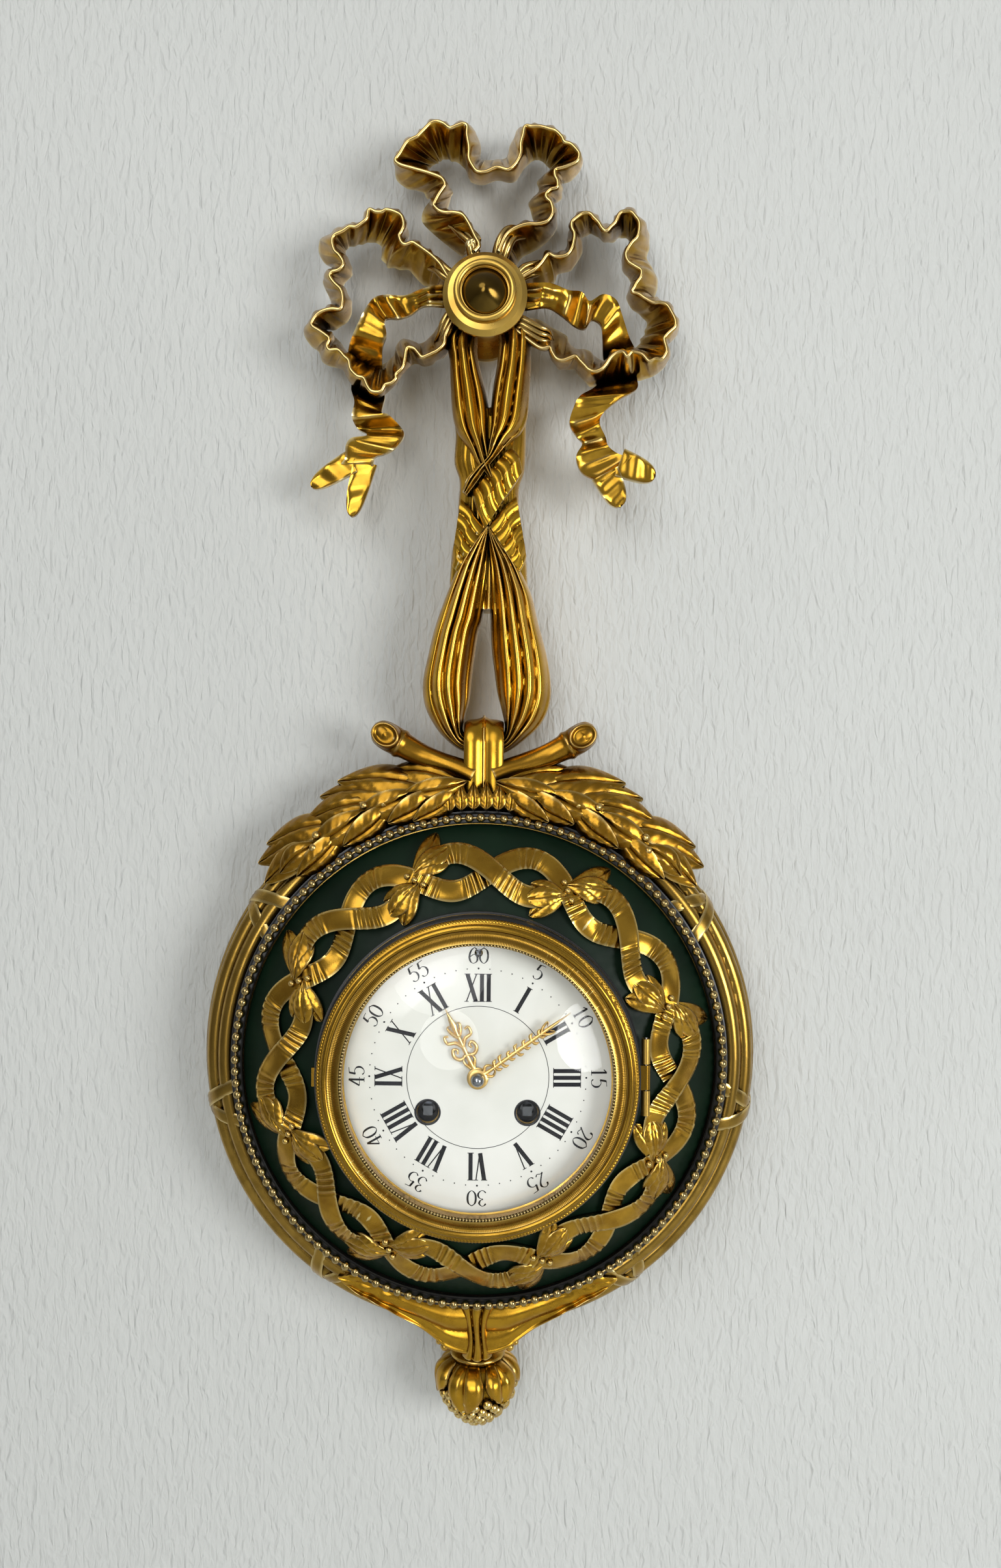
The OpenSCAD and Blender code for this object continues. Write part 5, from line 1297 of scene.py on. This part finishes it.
@dataclass
class BottomOrnament(Part):
    """The leafy bracket under the frame, and the cup of leaves with its berry cone."""

    depth: float = 21.0
    finial_top: float = -CASE_DROP - FRAME_RADIUS - 13.4
    leaf_lengths: tuple[float, ...] = (17.0, 16.0, 17.5, 22.0, 16.5, 16.0)
    leaf_thick: float = 1.7
    berries: int = 84
    berry: float = 2.45
    golden_angle: float = 137.5
    wing_low: tuple[tuple[float, float], ...] = (
        (1.5, -488.6), (8.5, -487.3), (14.9, -485), (18.5, -482), (25.7, -476.6), (34.4, -470.8), (47.4, -462.8),
        (58.2, -456.8), (64, -452.0))
    wing_high: tuple[tuple[float, float], ...] = (
        (0.8, -464.2), (7, -463.9), (14, -462.8), (20, -461.4), (28, -459.0), (36, -456.2), (46, -452.4), (56, -449.6),
        (64, -450.6))
    wing_thick: float = 2.6
    neck: tuple[tuple[float, float], ...] = (
        (7.5, -478), (7.2, -486), (7.8, -488.5), (10.5, -490.2), (12.8, -492.2), (12.0, -494))
    cone: tuple[tuple[float, float], ...] = (
        (6.5, 0), (12.5, -1.6), (16.6, -5.4), (17.6, -10.5), (16.8, -16), (14.4, -21), (10.2, -26), (5.0, -29.8),
        (0.8, -31))

    def about_axis(self, radius: Array, angle: Array, y: Array) -> Array:
        """Points on circles round the upright axis: x = r cos a, z = depth + r sin a."""
        return wall(radius * np.cos(angle), y, self.depth + radius * np.sin(angle))

    def wing(self, s: int) -> Array:
        """A long leaf that lies on the reeds from its tip and rolls down to the neck.

        With r the distance from the case centre, the face stands at 20 + 19.2 sqrt(1 - ((r - 112.3) / w)^2), where w
        widens towards the neck, with round flutes along the leaf, a rolled lower edge and cuts across its tip.

        Args:
            s: Side, -1 left or 1 right.

        Returns:
            Its top grid.
        """
        u, t = share_of(110), share_of(61).T
        flat = between(spline(self.wing_low, len(u), 2), spline(self.wing_high, len(u), 2), t)
        r = np.hypot(flat[..., 0], flat[..., 1] + CASE_DROP)
        wide = 19.6 + 17.0 * smooth(0.45, 0.0, u)
        z = REED_MIDDLE + 19.2 * np.sqrt(np.clip(1 - ((r - REED_CIRCLE) / wide) ** 2, 0.03, 1.0))
        flute = (0.4 + 1.9 * smooth(0.75, 0.1, u)) * (np.abs(np.sin(np.pi * (1.9 * t + 0.9 * u))) ** 0.9 - 0.5)
        roll = 2.0 * bell(t, 0.07, 0.07) * smooth(1.0, 0.8, u)
        cuts = 0.3 * wave(7 * u + 1.1 * t) * smooth(0.45, 0.7, u) * smooth(1.0, 0.9, u)
        return raised(flat * (s, 1.0), z + flute + roll + cuts)

    def bracket(self) -> Shape:
        """Both wings, the folded middle, two curled ends, and the neck with its collar.

        Returns:
            Its surfaces.
        """
        shape = Shape()
        for s, _ in SIDES:
            shape.plate(self.wing(s), self.wing_thick)
            shape.ball(np.array([(15.0 * s, -484.2, 33.5), (17.6 * s, -481.6, 34.0)]), np.array([2.1, 1.6]), 14, 10)
        edge = np.array([(8.5, -462.8), (6.0, -469), (5.0, -478), (7.0, -489)])
        Cloth(edge * (-1, 1), edge, (42.5, 41.5, 39.5, 37.5), (34, 33, 30, 26), 3.0, 2.2, samples=60).hang(shape)
        r, y = spline(self.neck, 30, 2).T[..., None]
        return shape.tube(self.about_axis(r, once_round(48), y))

    def finial(self) -> Shape:
        """A cup of six broad leaves, one of them longer, over a cone of berries set by the golden angle.

        A leaf lies on the cone, swollen by sin(pi u) with a sunk midrib; its edge rounds off by sqrt(1 - u^5).

        Returns:
            Its surfaces.
        """
        cone = spline(self.cone, 60, 2)
        shape = Shape().tube(self.about_axis(0.92 * cone[:, :1], once_round(60), self.finial_top + cone[:, 1:]))
        u, t = share_of(44), share_of(23, -1.0).T
        half = 0.5 * (0.72 + 0.28 * np.sin(np.pi * u)) * np.sqrt(1 - u**5) + 0.01
        swell = 2.3 * np.sin(np.pi * (0.1 + 0.8 * u)) ** 0.7 * (1 - 0.95 * t**4) + 0.4 * bell(np.abs(t), 0.7, 0.2)
        rib = 1.7 * bell(t, 0.1, 0.1 + 0.12 * u) * np.sin(np.pi * u**0.7) ** 0.6
        for k, length in enumerate(self.leaf_lengths):
            down = length * u * (1 - 0.1 * t**2 * u)
            rad = np.interp(down, -cone[:, 1], cone[:, 0]) + 0.5 + swell - rib + 0.9 * u**8
            spin = math.radians(60 * k - 72) + half * t
            shape.slab(*(self.about_axis(r, spin, self.finial_top - down) for r in (rad, rad - self.leaf_thick)))
        i = np.arange(self.berries)
        down = 14.0 + 16.0 * (i / i[-1]) ** 0.95
        rad = np.interp(down, -cone[:, 1], cone[:, 0]) - 0.4
        places = self.about_axis(rad, np.radians(self.golden_angle * i), self.finial_top - down)
        return shape.ball(places, self.berry, 12, 9)

    def build(self) -> None:
        """Make the bracket and the finial."""
        self.bracket().make("leafy_bracket", self.palette.gilt, ("bottom_bracket",))
        self.finial().make("berry_cone", self.palette.gilt, ("berry_finial",))


@dataclass
class BezelTrim(Part):
    """Milled rope, bright round, cut hollow and fine beading on the bezel, and the domed glass."""

    glass_edge: float = 59.4
    glass_ball: float = 137.87
    glass_middle: float = -48.57
    glass_thick: float = 1.6
    hollow_rows: tuple[tuple[float, float], ...] = (
        (63.7, 81.3), (62.9, 80.75), (61.8, 80.85), (60.6, 81.75), (59.5, 82.45), (58.6, 82.75))
    hollow_cuts: int = 540
    hollow_thick: float = 0.5
    wall_rows: tuple[tuple[float, float], ...] = (
        (69.62, 69.6), (69.62, 76.7), (69.3, 77.15), (68.66, 77.5), (68.66, 78.3), (68.45, 78.3), (68.45, 69.6))
    pan_rows: tuple[tuple[float, float], ...] = (
        (69.75, 69.55), (70.7, 69.55), (70.75, 69.4), (70.75, 68.6), (69.75, 68.6))

    def ring(self, name: str, finish: bpy.types.Material, radius: float, high: float, thick: float, cuts: int = 0,
             deep: float = 0.0, slant: float = 0.0, samples: int = 2880) -> None:
        """A round moulding whose surface is cut across: its section's radius is thick - deep (1 - |cos(cuts a / 2)|).

        Args:
            name: Piece name.
            finish: Its material.
            radius: Circle of its middle.
            high: Height of its middle.
            thick: Radius of its section.
            cuts: Number of cuts.
            deep: Depth of the cuts.
            slant: How far the cuts lean over the round, in radians.
            samples: Steps round.
        """
        a, q = once_round(samples, 360)[:, None], once_round(12)
        r = thick - deep * (1 - np.abs(np.cos(np.radians(a * cuts / 2) + slant * np.sin(q))))
        Shape().tube(on_case(radius + r * np.cos(q), a, high + r * np.sin(q)), True).make(name, finish, body=Body.BEZEL)

    def hollow(self) -> None:
        """The wide hollow between the round and the beading, with fine cuts that run in towards the dial."""
        a = once_round(8 * self.hollow_cuts, 360)[:, None]
        r, z = spline(self.hollow_rows, 9, 2).T
        cut = 0.05 * np.cos(np.radians(a * self.hollow_cuts)) * np.sin(np.linspace(0.15, np.pi - 0.15, 9))
        Shape().plate(on_case(r, a, z + cut), self.hollow_thick, True).make(
            "cut_bezel_hollow", self.palette.cut, body=Body.BEZEL)

    def blacked(self) -> None:
        """Black rings over the outer wall of the bezel and over the edge of the dial pan."""
        for name, body, rows in (("black_bezel_wall", Body.BEZEL, self.wall_rows),
                                 ("black_pan_edge", Body.CASE, self.pan_rows)):
            r, z = np.array(rows).T
            Shape().tube(on_case(r, once_round(360, 360)[:, None], z), True).make(
                name, self.palette.black, slot=Slot.BLACK, body=body, sharp=30)

    def glass(self) -> None:
        """The domed glass: two spherical faces, z = middle + sqrt(ball^2 - r^2), joined at the edge."""
        r = np.linspace(0.2, self.glass_edge, 44)[:, None]
        front, back = (on_case(r, once_round(160, 360), self.glass_middle + np.sqrt(ball**2 - r**2))
                       for ball in (self.glass_ball, self.glass_ball - self.glass_thick))
        Shape().tube(np.concatenate([front, back[::-1]])).make(
            "domed_glass", self.palette.glass, ("dial_glass",), Slot.GLASS, Body.BEZEL, 60)

    def build(self) -> None:
        """Make the mouldings from the outside in, then the glass."""
        self.ring("milled_bezel_rope", self.palette.bezel, 67.5, 79.1, 1.25, 300, 0.3, 1.3)
        self.ring("bright_bezel_round", self.palette.bezel, 65.0, 80.3, 1.55, samples=360)
        self.hollow()
        self.blacked()
        self.ring("bezel_beading", self.palette.beads, 58.05, 82.4, 0.66, 264, 0.45)
        self.glass()


@dataclass
class WindingEyes(Part):
    """Painted shade in the winding holes: black sleeves with a thin brass lip, and black washers. Rows are radius and
    height.
    """

    eyelet: tuple[tuple[float, float], ...] = (
        (4.75, 66.6), (4.75, 72.85), (4.95, 73.0), (5.5, 72.95), (5.65, 72.8), (5.05, 72.78), (5.05, 66.6))
    lip: tuple[tuple[float, float], ...] = ((4.55, 70.6), (4.55, 71.5), (4.74, 71.5), (4.74, 70.6))
    washer: tuple[tuple[float, float], ...] = ((3.05, 66.9), (3.05, 67.2), (4.76, 67.2), (4.76, 66.9))

    def build(self) -> None:
        """Turn the black sleeves and washers of painted shade round the squares, and the brass lips inside the sleeves.
        """
        # The black sleeves and washers are painted shade: dark sheets that stand in for the dark inside of the holes.
        for name, slot, finish, rows in (("winding_hole_shade_sleeves", Slot.BLACK, self.palette.ink, self.eyelet),
                                         ("winding_eyelet_lips", Slot.BRASS, self.palette.brass, self.lip),
                                         ("winding_hole_shade_washers", Slot.BLACK, self.palette.ink, self.washer)):
            shape = Shape()
            r, z = np.array(rows).T
            for x, y in WINDING_HOLES:
                shape.tube(turned(r, once_round(64)[:, None], z, (x, y - CASE_DROP)), True)
            shape.make(name, finish, slot=slot)


@dataclass
class BeadRing(Part):
    """The ring of brass beads on its black strip."""

    circle: float = 110.35
    high: float = 44.6
    count: int = 132
    bead: float = 2.1
    wire: float = 0.55
    bed: tuple[tuple[float, float], ...] = ((108.6, 42.35), (108.6, 42.8), (112.0, 42.8), (112.0, 42.35))

    def build(self) -> None:
        """Balls with a fine wire between them, and a black bed under them."""
        beads = Shape().ball(on_case(self.circle, once_round(self.count, 360), self.high), self.bead, 14, 9)
        turn, q = once_round(360, 360)[:, None], once_round(8)
        beads.tube(on_case(self.circle + self.wire * np.cos(q), turn, self.high + self.wire * np.sin(q)), True)
        beads.make("brass_bead_ring", self.palette.beads, ("bead_ring",), Slot.DARK)
        r, z = np.array(self.bed).T
        Shape().tube(on_case(r, turn, z), True).make("bead_bed", self.palette.black, slot=Slot.BLACK)


# Roman letters: pitch, bars from point to point with their width, serifs with their reach. Sizes across are mm from
# the left, and sizes up are shares of the letter's height.
ROMAN = {
    "I": (2.9, (((1.45, 0), (1.45, 1), 1.75),), ((1.45, 0, 1.35), (1.45, 1, 1.35))),
    "V": (5.6, (((1.2, 1), (3.0, 0), 1.85), ((4.7, 1), (3.15, 0), 0.5)), ((1.2, 1, 1.3), (4.7, 1, 0.9))),
    "X": (5.9, (((1.1, 1), (4.8, 0), 1.85), ((5.0, 1), (0.8, 0), 0.5)),
          ((1.1, 1, 1.3), (4.8, 0, 1.3), (5.0, 1, 0.9), (0.8, 0, 0.9)))}
HOURS = ("XII", "I", "II", "III", "IIII", "V", "VI", "VII", "VIII", "IX", "X", "XI")
# Pen strokes of the figures, in shares of their height.
DIGITS = {
    "0": (((0.3, 1), (0.08, 0.82), (0.02, 0.5), (0.08, 0.18), (0.3, 0), (0.52, 0.18), (0.58, 0.5), (0.52, 0.82),
           (0.3, 1)),),
    "1": (((0.1, 0.8), (0.3, 0.98), (0.31, 0.99)), ((0.31, 1), (0.31, 0)), ((0.12, 0.0), (0.5, 0.0))),
    "2": (((0.06, 0.76), (0.12, 0.94), (0.32, 1.0), (0.52, 0.88), (0.52, 0.66), (0.3, 0.34), (0.04, 0.04)),
           ((0.04, 0.04), (0.2, 0.1), (0.42, 0.02), (0.58, 0.14))),
    "3": (((0.06, 0.84), (0.16, 0.97), (0.34, 1.0), (0.5, 0.84), (0.42, 0.64), (0.24, 0.56), (0.48, 0.48),
           (0.58, 0.26), (0.44, 0.04), (0.22, 0.0), (0.05, 0.14)),),
    "4": (((0.42, 1), (0.42, 0)), ((0.42, 1), (0.02, 0.3)), ((0.02, 0.3), (0.6, 0.3)), ((0.26, 0.0), (0.58, 0.0))),
    "5": (((0.54, 1.0), (0.18, 0.97)), ((0.18, 0.97), (0.1, 0.56)), ((0.1, 0.56), (0.3, 0.63), (0.52, 0.5),
           (0.56, 0.26), (0.42, 0.05), (0.2, 0.0), (0.05, 0.12))),
    "6": (((0.52, 0.9), (0.36, 1.0), (0.14, 0.8), (0.03, 0.42), (0.12, 0.1), (0.32, 0.0), (0.54, 0.14), (0.56, 0.4),
           (0.36, 0.58), (0.1, 0.44)),)}


@dataclass
class DialMarks(Part):
    """Fired numerals, minute dots, the thin inner ring and the black rims of the winding holes."""

    lift: float = 0.06
    thick: float = 0.05
    edge_z: float = 71.4
    dome: float = 1.6
    radius: float = 61.0
    roman_low: float = 32.4
    roman_high: float = 44.0
    hair: float = 0.16
    broad: float = 1.0
    digits_low: float = 48.6
    digits_high: float = 55.2
    dot_circle: float = 46.4
    rings: tuple[tuple[float, float, float, float], ...] = (
        (0, 0, 30.4, 0.13), *((x, y, 5.3, 0.25) for x, y in WINDING_HOLES))

    def face(self, x: Array, y: Array) -> Array:
        """Place points on the dial's dome: z = edge + dome (1 - r^2 / radius^2), lifted a little."""
        return wall(x, y - CASE_DROP, self.edge_z + self.dome * (1 - (x**2 + y**2) / self.radius**2) + self.lift)

    def stroke(self, shape: Shape, path: Array, half: Array, angle: float, foot: float) -> None:
        """A flat stroke on the dial.

        Args:
            shape: Where it goes.
            path: Its middle line, across and up, in mm.
            half: Half widths along it, measured across the run.
            angle: Clock angle in degrees that its letter stands at.
            foot: Radius of the letter's foot.
        """
        side = leftward(path) * np.broadcast_to(half, len(path))[:, None]
        grid = np.stack([path + side, path - side], axis=1) + (0.0, foot)
        shape.plate(self.face(*clockwise(grid, angle)), self.thick)

    def roman(self, shape: Shape, letters: str, angle: float) -> None:
        """Set a Roman hour with broad strokes, whose width is measured level, thin strokes and hair serifs.

        Args:
            shape: Where it goes.
            letters: The hour in I, V and X.
            angle: Clock angle in degrees.
        """
        scale = np.array([1.0, self.roman_high - self.roman_low])
        left = -0.5 * sum(ROMAN[c][0] for c in letters)
        for pitch, bars, serifs in (ROMAN[c] for c in letters):
            for start, end, wide in bars:
                path = np.linspace(start, end, 5) * scale + (left, 0.0)
                level = heading(path)[0, 1] if wide > self.broad else 1.0
                self.stroke(shape, path, 0.5 * wide * abs(level), angle, self.roman_low)
            for x, y, reach in serifs:
                path = np.array([(x + k * reach, y) for k in (-1, 0, 1)]) * scale + (left, 0.0)
                self.stroke(shape, path, self.hair, angle, self.roman_low)
            left += pitch

    def digit(self, shape: Shape, sign: str, left: float, angle: float) -> None:
        """Set one figure from its pen strokes; the pen is broad on upright runs and fine on level ones.

        Args:
            shape: Where it goes.
            sign: The figure.
            left: Its left edge in mm.
            angle: Clock angle in degrees.
        """
        high = self.digits_high - self.digits_low
        for rows in DIGITS[sign]:
            path = spline(rows, 40 if len(rows) > 3 else 8, 2) * (0.95 * high, high) + (left, 0.0)
            self.stroke(shape, path, 0.13 + 0.3 * np.abs(heading(path)[:, 1]) ** 3, angle, self.digits_low)

    def build(self) -> None:
        """Make the marks as one piece that lies on the enamel."""
        shape = Shape()
        pitch = 0.68 * (self.digits_high - self.digits_low)
        for k, letters in enumerate(HOURS):
            self.roman(shape, letters, 30.0 * k)
            figures = str(5 * k if k else 60)
            for j, sign in enumerate(figures):
                self.digit(shape, sign, pitch * (j - 0.5 * len(figures)) + 0.35, 30.0 * k)
        spot = once_round(14)
        for k, a in enumerate(once_round(60)):
            r = 0.27 if k % 5 else 0.42
            dot = self.face(self.dot_circle * math.sin(a) + r * np.cos(spot),
                            self.dot_circle * math.cos(a) + r * np.sin(spot))
            shape.tube(np.stack([dot, dot - self.thick * OUT]))
        a = once_round(240)[:, None]
        for x, y, r, half in self.rings:
            wide = r + np.array([half, -half])
            shape.plate(self.face(x + wide * np.cos(a), y + wide * np.sin(a)), self.thick, True)
        shape.make("dial_numerals", self.palette.ink, slot=Slot.BLACK, sharp=30)


@dataclass
class Hands(Part):
    """Pierced gilt hands: a leafy branch for the minutes and a scrolled head for the hours.

    Rows are across, up and half width. A scroll is drawn on both sides of the blade with that many samples.
    """

    hour_z: float = 74.0
    minute_z: float = 76.0
    hour_angle: float = 334.5
    minute_angle: float = 54.0
    blade_samples: int = 40
    minute_hub: tuple[float, float] = (4.2, 2.02)
    hour_hub: tuple[float, float] = (4.6, 3.02)
    minute_blade: tuple[tuple[float, float, float], ...] = (
        (0, 3.6, 1.0), (0, 8, 0.75), (0, 20, 0.95), (0, 33, 0.8), (0, 39, 0.7), (0, 48.5, 0.12))
    hour_blade: tuple[tuple[float, float, float], ...] = (
        (0, 4.0, 1.4), (0, 7, 1.0), (0, 14, 0.9), (0, 22, 0.9), (0, 25, 1.3), (0, 32.5, 0.15))
    minute_leaves: tuple[tuple[float, float], ...] = (
        (9, 2.4), (12, 2.8), (16, 2.0), (20, 2.6), (24, 2.0), (28, 2.4), (32, 1.8))
    minute_scrolls: tuple[tuple, ...] = (
        (16, ((0, 33, 0.6), (1.9, 35.5, 0.6), (2.6, 38.5, 0.4), (1.0, 37.2, 0.15))),
        (16, ((1.2, 4.0, 0.7), (2.6, 6.0, 0.6), (1.6, 8.0, 0.5), (0, 8.6, 0.4))))
    hour_scrolls: tuple[tuple, ...] = (
        (20, ((0.8, 5, 0.7), (2.4, 8.5, 0.6), (1.0, 11.5, 0.5))),
        (40, ((0, 11, 0.7), (3.2, 10.2, 0.8), (5.2, 12.4, 0.8), (4.6, 15.2, 0.7), (2.8, 14.6, 0.6), (3.3, 12.9, 0.5))),
        (36, ((0, 14.5, 0.7), (2.2, 17.5, 0.8), (5.4, 18.6, 0.7), (5.6, 21.6, 0.6), (3.8, 21.4, 0.5))),
        (24, ((0, 19, 0.7), (1.8, 21.5, 0.8), (2.8, 24.6, 0.5), (1.2, 25.2, 0.2))))
    nut_radius: float = 2.9
    nut_rise: float = 3.5
    nut_foot: float = 77.5
    nut_skirt: float = 0.4

    def ribbon(self, shape: Shape, rows: Rows, angle: float, z: float, samples: int) -> None:
        """A bevelled flat bar along a curve.

        Args:
            shape: Where it goes.
            rows: Control rows of across, up and half width.
            angle: Clock angle of the hand.
            z: Back face.
            samples: Rings.
        """
        r = spline(rows, samples, 2)
        k = np.array([-1.0, -0.55, 0.0, 0.55, 1.0, 0.8, -0.8])
        h = np.array([0.35, 0.85, 1.0, 0.85, 0.35, 0.0, 0.0])
        flat = r[:, None, :2] + leftward(r[:, :2])[:, None] * (r[:, 2:3] * k)[..., None]
        x, y = clockwise(flat, angle)
        shape.tube(wall(x, y - CASE_DROP, z + h))

    def hand(self, hub: tuple[float, float], blade: Rows, scrolls: Sequence[tuple], angle: float, z: float) -> Shape:
        """A hand: a flat ring with softened edges round the arbor, a blade, and scrolls on both its sides.

        Args:
            hub: Outer and inner radius of the ring.
            blade: Rows of the blade.
            scrolls: Samples and rows of each scroll.
            angle: Clock angle.
            z: Back face.

        Returns:
            Its surfaces.
        """
        outer, inner = hub
        r = np.array([inner, inner, inner + 0.25, outer - 0.4, outer, outer])
        h = np.array([0.0, 0.8, 1.0, 1.0, 0.7, 0.0])
        shape = Shape().tube(turned(r, once_round(64)[:, None], z + h), True)
        self.ribbon(shape, blade, angle, z, self.blade_samples)
        for samples, rows in scrolls:
            for s, _ in SIDES:
                self.ribbon(shape, np.array(rows) * (s, 1, 1), angle, z, samples)
        return shape

    def nut(self) -> Shape:
        """The domed nut: r = R cos e, z = foot + rise sin e, with a short skirt under it.

        Returns:
            Its surfaces.
        """
        e = np.radians(np.concatenate([[0.0], np.linspace(0, 89.5, 20)]))[:, None]
        z = self.nut_foot + self.nut_rise * np.sin(e)
        z[0] -= self.nut_skirt
        return Shape().tube(turned(self.nut_radius * np.cos(e), once_round(40), z))

    def build(self) -> None:
        """Make both hands and the domed nut on them."""
        leaves = tuple((12, ((0, y, 0.5), (0.8 * reach, y + 0.8, 0.75), (reach, y + 2.4, 0.15)))
                       for y, reach in self.minute_leaves)
        minute = self.hand(self.minute_hub, self.minute_blade, leaves + self.minute_scrolls, self.minute_angle,
                           self.minute_z)
        minute.make("leafy_minute_hand", self.palette.hands, ("minute_hand",), Slot.BRASS, Body.MINUTES)
        self.nut().make("domed_hand_nut", self.palette.steel, ("hand_collet",), Slot.STEEL, Body.MINUTES)
        hour = self.hand(self.hour_hub, self.hour_blade, self.hour_scrolls, self.hour_angle, self.hour_z)
        hour.make("scrolled_hour_hand", self.palette.hands, ("hour_hand",), Slot.BRASS, Body.HOURS)


@dataclass
class CadFinishes(Part):
    """Finishes of the CAD nodes whose own shape is shown."""

    def build(self) -> None:
        """Give every CAD node the finish of its slot, with a few set by name."""
        p = self.palette
        named = {"boss_disc": p.boss, "bezel": p.bezel, "reeded_frame": p.reeds}
        by_slot = {Slot.GILT: p.gilt, Slot.DARK: p.cap, Slot.BRASS: p.brass, Slot.STEEL: p.steel, Slot.GREEN: p.green,
                   Slot.BLACK: p.black, Slot.ENAMEL: p.enamel, Slot.GLASS: p.glass}
        for name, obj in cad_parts.items():
            own = obj.material_slots[0]
            own.material = named.get(name) or by_slot[Slot(own.material.name)]


@dataclass
class Studio:
    """Pale wall and floor, plain soft light and the camera. Lengths are metres in Blender's frame.

    A lamp is its name, place, width and power. A sky stop is its height, from 0 below to 1 above, and its tone.
    """

    half_width: float = 3.0
    wall_y: float = 0.0006
    wall_top: float = 2.0
    floor_z: float = -1.2
    aim: tuple[float, float, float] = (0.0, 0.0, -0.3)
    lamps: tuple[tuple, ...] = (
        ("right_lamp", (1.5, -1.61, -0.23), 1.0, 30.0), ("front_lamp", (-0.46, -2.15, -0.2), 0.9, 9.5),
        ("upper_left_lamp", (-0.68, -2.0, 1.0), 1.8, 21.5), ("rear_lamp", (0.9, 2.1, 0.5), 1.5, 36.0))
    sky: tuple[tuple, ...] = ((0.3, (0.13, 0.12, 0.105, 1)), (0.8, (0.34, 0.345, 0.35, 1)))
    sensor_mm: float = 36.0
    focal_share: float = 1809.0 / 2408.0
    eye: tuple[float, float, float] = (0.0088, -0.578, -0.2242)
    roll: float = -0.00764

    def backdrop(self) -> None:
        """A wall behind the clock and a pale floor below."""
        x, y, low = self.half_width, self.wall_y, self.floor_z
        for name, finish, corners in (
                # Wall paint: a pale grey ground with faint upright strokes and the clock's shadows.
                ("wall_backdrop", MattPaint("painted_wall", True).build(),
                 [(-x, y, low), (x, y, low), (x, y, self.wall_top), (-x, y, self.wall_top)]),
                # Floor paint: the same pale grey, seen from above.
                ("studio_floor", MattPaint("painted_floor").build(),
                 [(-x, -x, low), (x, -x, low), (x, x, low), (-x, x, low)])):
            mesh = bpy.data.meshes.new(name)
            mesh.from_pydata(corners, [], [(0, 1, 2, 3)])
            mesh.materials.append(finish)
            obj = bpy.data.objects.new(name, mesh)
            bpy.context.scene.collection.objects.link(obj)

    def light(self) -> None:
        """A dim world that is paler above, and round soft lamps turned towards the clock.

        A strong one is on the right, a weak one in front, a broad one at the upper left, and one behind the
        wall for the back.
        """
        n = Nodes("soft_room", "worlds")
        rise = n.add("ShaderNodeSeparateXYZ", {0: n.coords["Generated"]}).outputs["Z"]
        ramp = n.add("ShaderNodeValToRGB", {0: n.steps(rise, -1.0, 1.0)})
        for stop, (height, tone) in zip(ramp.color_ramp.elements, self.sky):
            stop.position, stop.color = height, tone
        shade = n.add("ShaderNodeBackground", {0: ramp.outputs[0]})
        n.add("ShaderNodeOutputWorld", {0: shade.outputs[0]})
        bpy.context.scene.world = n.owner
        for name, place, size, power in self.lamps:
            data = bpy.data.lights.new(name, "AREA")
            data.shape, data.size, data.energy = "DISK", size, power
            obj = bpy.data.objects.new(name, data)
            obj.location = place
            obj.rotation_euler = (Vector(self.aim) - Vector(place)).to_track_quat("-Z", "Y").to_euler()
            bpy.context.scene.collection.objects.link(obj)

    def camera(self) -> None:
        """The camera of the picture: level with the case's upper part, close, with a slight roll."""
        data = bpy.data.cameras.new("camera")
        data.sensor_fit, data.sensor_width, data.lens = "AUTO", self.sensor_mm, self.sensor_mm * self.focal_share
        data.clip_start = 0.01
        obj = bpy.data.objects.new("camera", data)
        obj.location = self.eye
        obj.rotation_euler = (math.pi / 2, self.roll, 0.0)
        bpy.context.scene.collection.objects.link(obj)
        bpy.context.scene.camera = obj

    def build(self) -> None:
        """Set up the wall, the light and the camera."""
        bpy.context.scene.view_settings.view_transform = "Standard"
        self.backdrop()
        self.light()
        self.camera()


def main() -> None:
    """Build the studio and every sub-assembly in order."""
    logging.basicConfig(level=logging.INFO, format="%(name)s %(message)s")
    palette = Palette()
    Studio().build()
    for part in (CadFinishes, Bow, BossCap, Drape, Bail, LaurelBranches, FrameBindings, Wreath, BottomOrnament,
                 BezelTrim, BeadRing, WindingEyes, DialMarks, Hands):
        part(palette).build()
        log.info("%s done", part.__name__)


if __name__ == "__main__":
    main()
